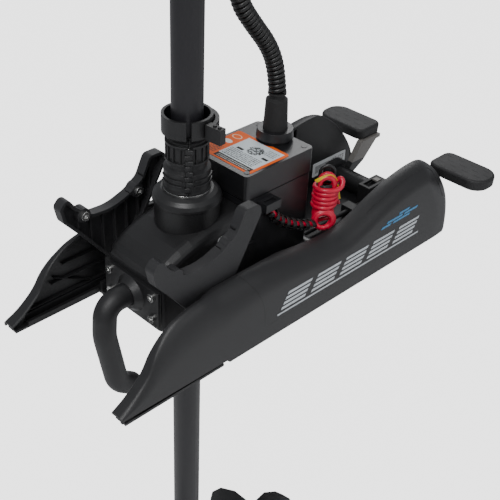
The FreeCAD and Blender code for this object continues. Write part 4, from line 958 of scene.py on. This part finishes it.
# ---- Camera, light and floor for the studio view.
# A long lens looks down on the near front corner; large soft lamps give broad highlights.
# The floor lies below the pod and isn't part of the object.
LOOK_FROM = (0.614106, -0.749417, 0.637273)
AZIMUTH = math.radians(45.99)
ELEVATION = math.radians(34.39)
ROLL = math.radians(1.34)
camera = bpy.data.objects.new("camera", bpy.data.cameras.new("camera"))
bpy.context.scene.collection.objects.link(camera)
back = Vector((math.sin(AZIMUTH) * math.cos(ELEVATION), -math.cos(AZIMUTH) * math.cos(ELEVATION),
               math.sin(ELEVATION)))
level = (-back).cross(Vector((0, 0, 1))).normalized()
upright = level.cross(-back)
right = level * math.cos(ROLL) + upright * math.sin(ROLL)
up = upright * math.cos(ROLL) - level * math.sin(ROLL)
camera.matrix_world = Matrix.Translation(LOOK_FROM) @ Matrix((right, up, back)).transposed().to_4x4()
camera.data.sensor_width = 36
camera.data.lens = 67.75
camera.data.shift_x = 0.0667
camera.data.shift_y = 0.0033
camera.data.clip_start = 0.01
bpy.context.scene.camera = camera

FLOOR_GLOW = 3.2
FLOOR_SHARE = 0.85
WORLD_SEEN = 2.8
WORLD_LIGHT = 0.42
pale, pale_shader, pale_here = begin("pale_floor", Roughness=0.9, Base_Color=rgb(0.9, 0.9, 0.9))
seen = pale_here.node("LightPath")
glow = pale_here.node("Emission", {"Color": rgb(1, 1, 1), "Strength": FLOOR_GLOW})
both = pale_here.node("MixShader", {0: seen * FLOOR_SHARE, 2: glow})
pale.node_tree.links.new(pale_shader.outputs[0], both.socket.node.inputs[1])
pale.node_tree.links.new(both.socket, pale.node_tree.nodes["Material Output"].inputs[0])
bpy.ops.mesh.primitive_plane_add(size=16, location=(0, 0, cad_box[0].z - 0.002))
floor = bpy.context.object
floor.name = "floor"
floor.data.materials.append(pale)
world = bpy.data.worlds.new("studio")
world.use_nodes = True
sky = world.node_tree.nodes["Background"]
sky.inputs[0].default_value = rgb(0.93, 0.95, 1.0)
brightness = Socket(world.node_tree).node("LightPath") * WORLD_SEEN + WORLD_LIGHT
world.node_tree.links.new(brightness.socket, sky.inputs[1])
bpy.context.scene.world = world


def lamp(name, place, size, power):
    """A round soft lamp that points at the object."""
    made = bpy.data.objects.new(name, bpy.data.lights.new(name, "AREA"))
    bpy.context.scene.collection.objects.link(made)
    made.data.shape = "DISK"
    made.data.size = size
    made.data.energy = power
    made.location = place
    made.rotation_euler = (Vector((0, 0, 0)) - Vector(place)).to_track_quat("-Z", "Y").to_euler()


lamp("key", (0.6, -1.2, 2.0), 1.0, 24)
lamp("front", (0.62, -1.5, 1.3), 0.5, 9)
lamp("fill", (2.2, 0.2, 1.0), 1.6, 9)
lamp("back", (-1.2, 1.6, 1.8), 1.2, 20)
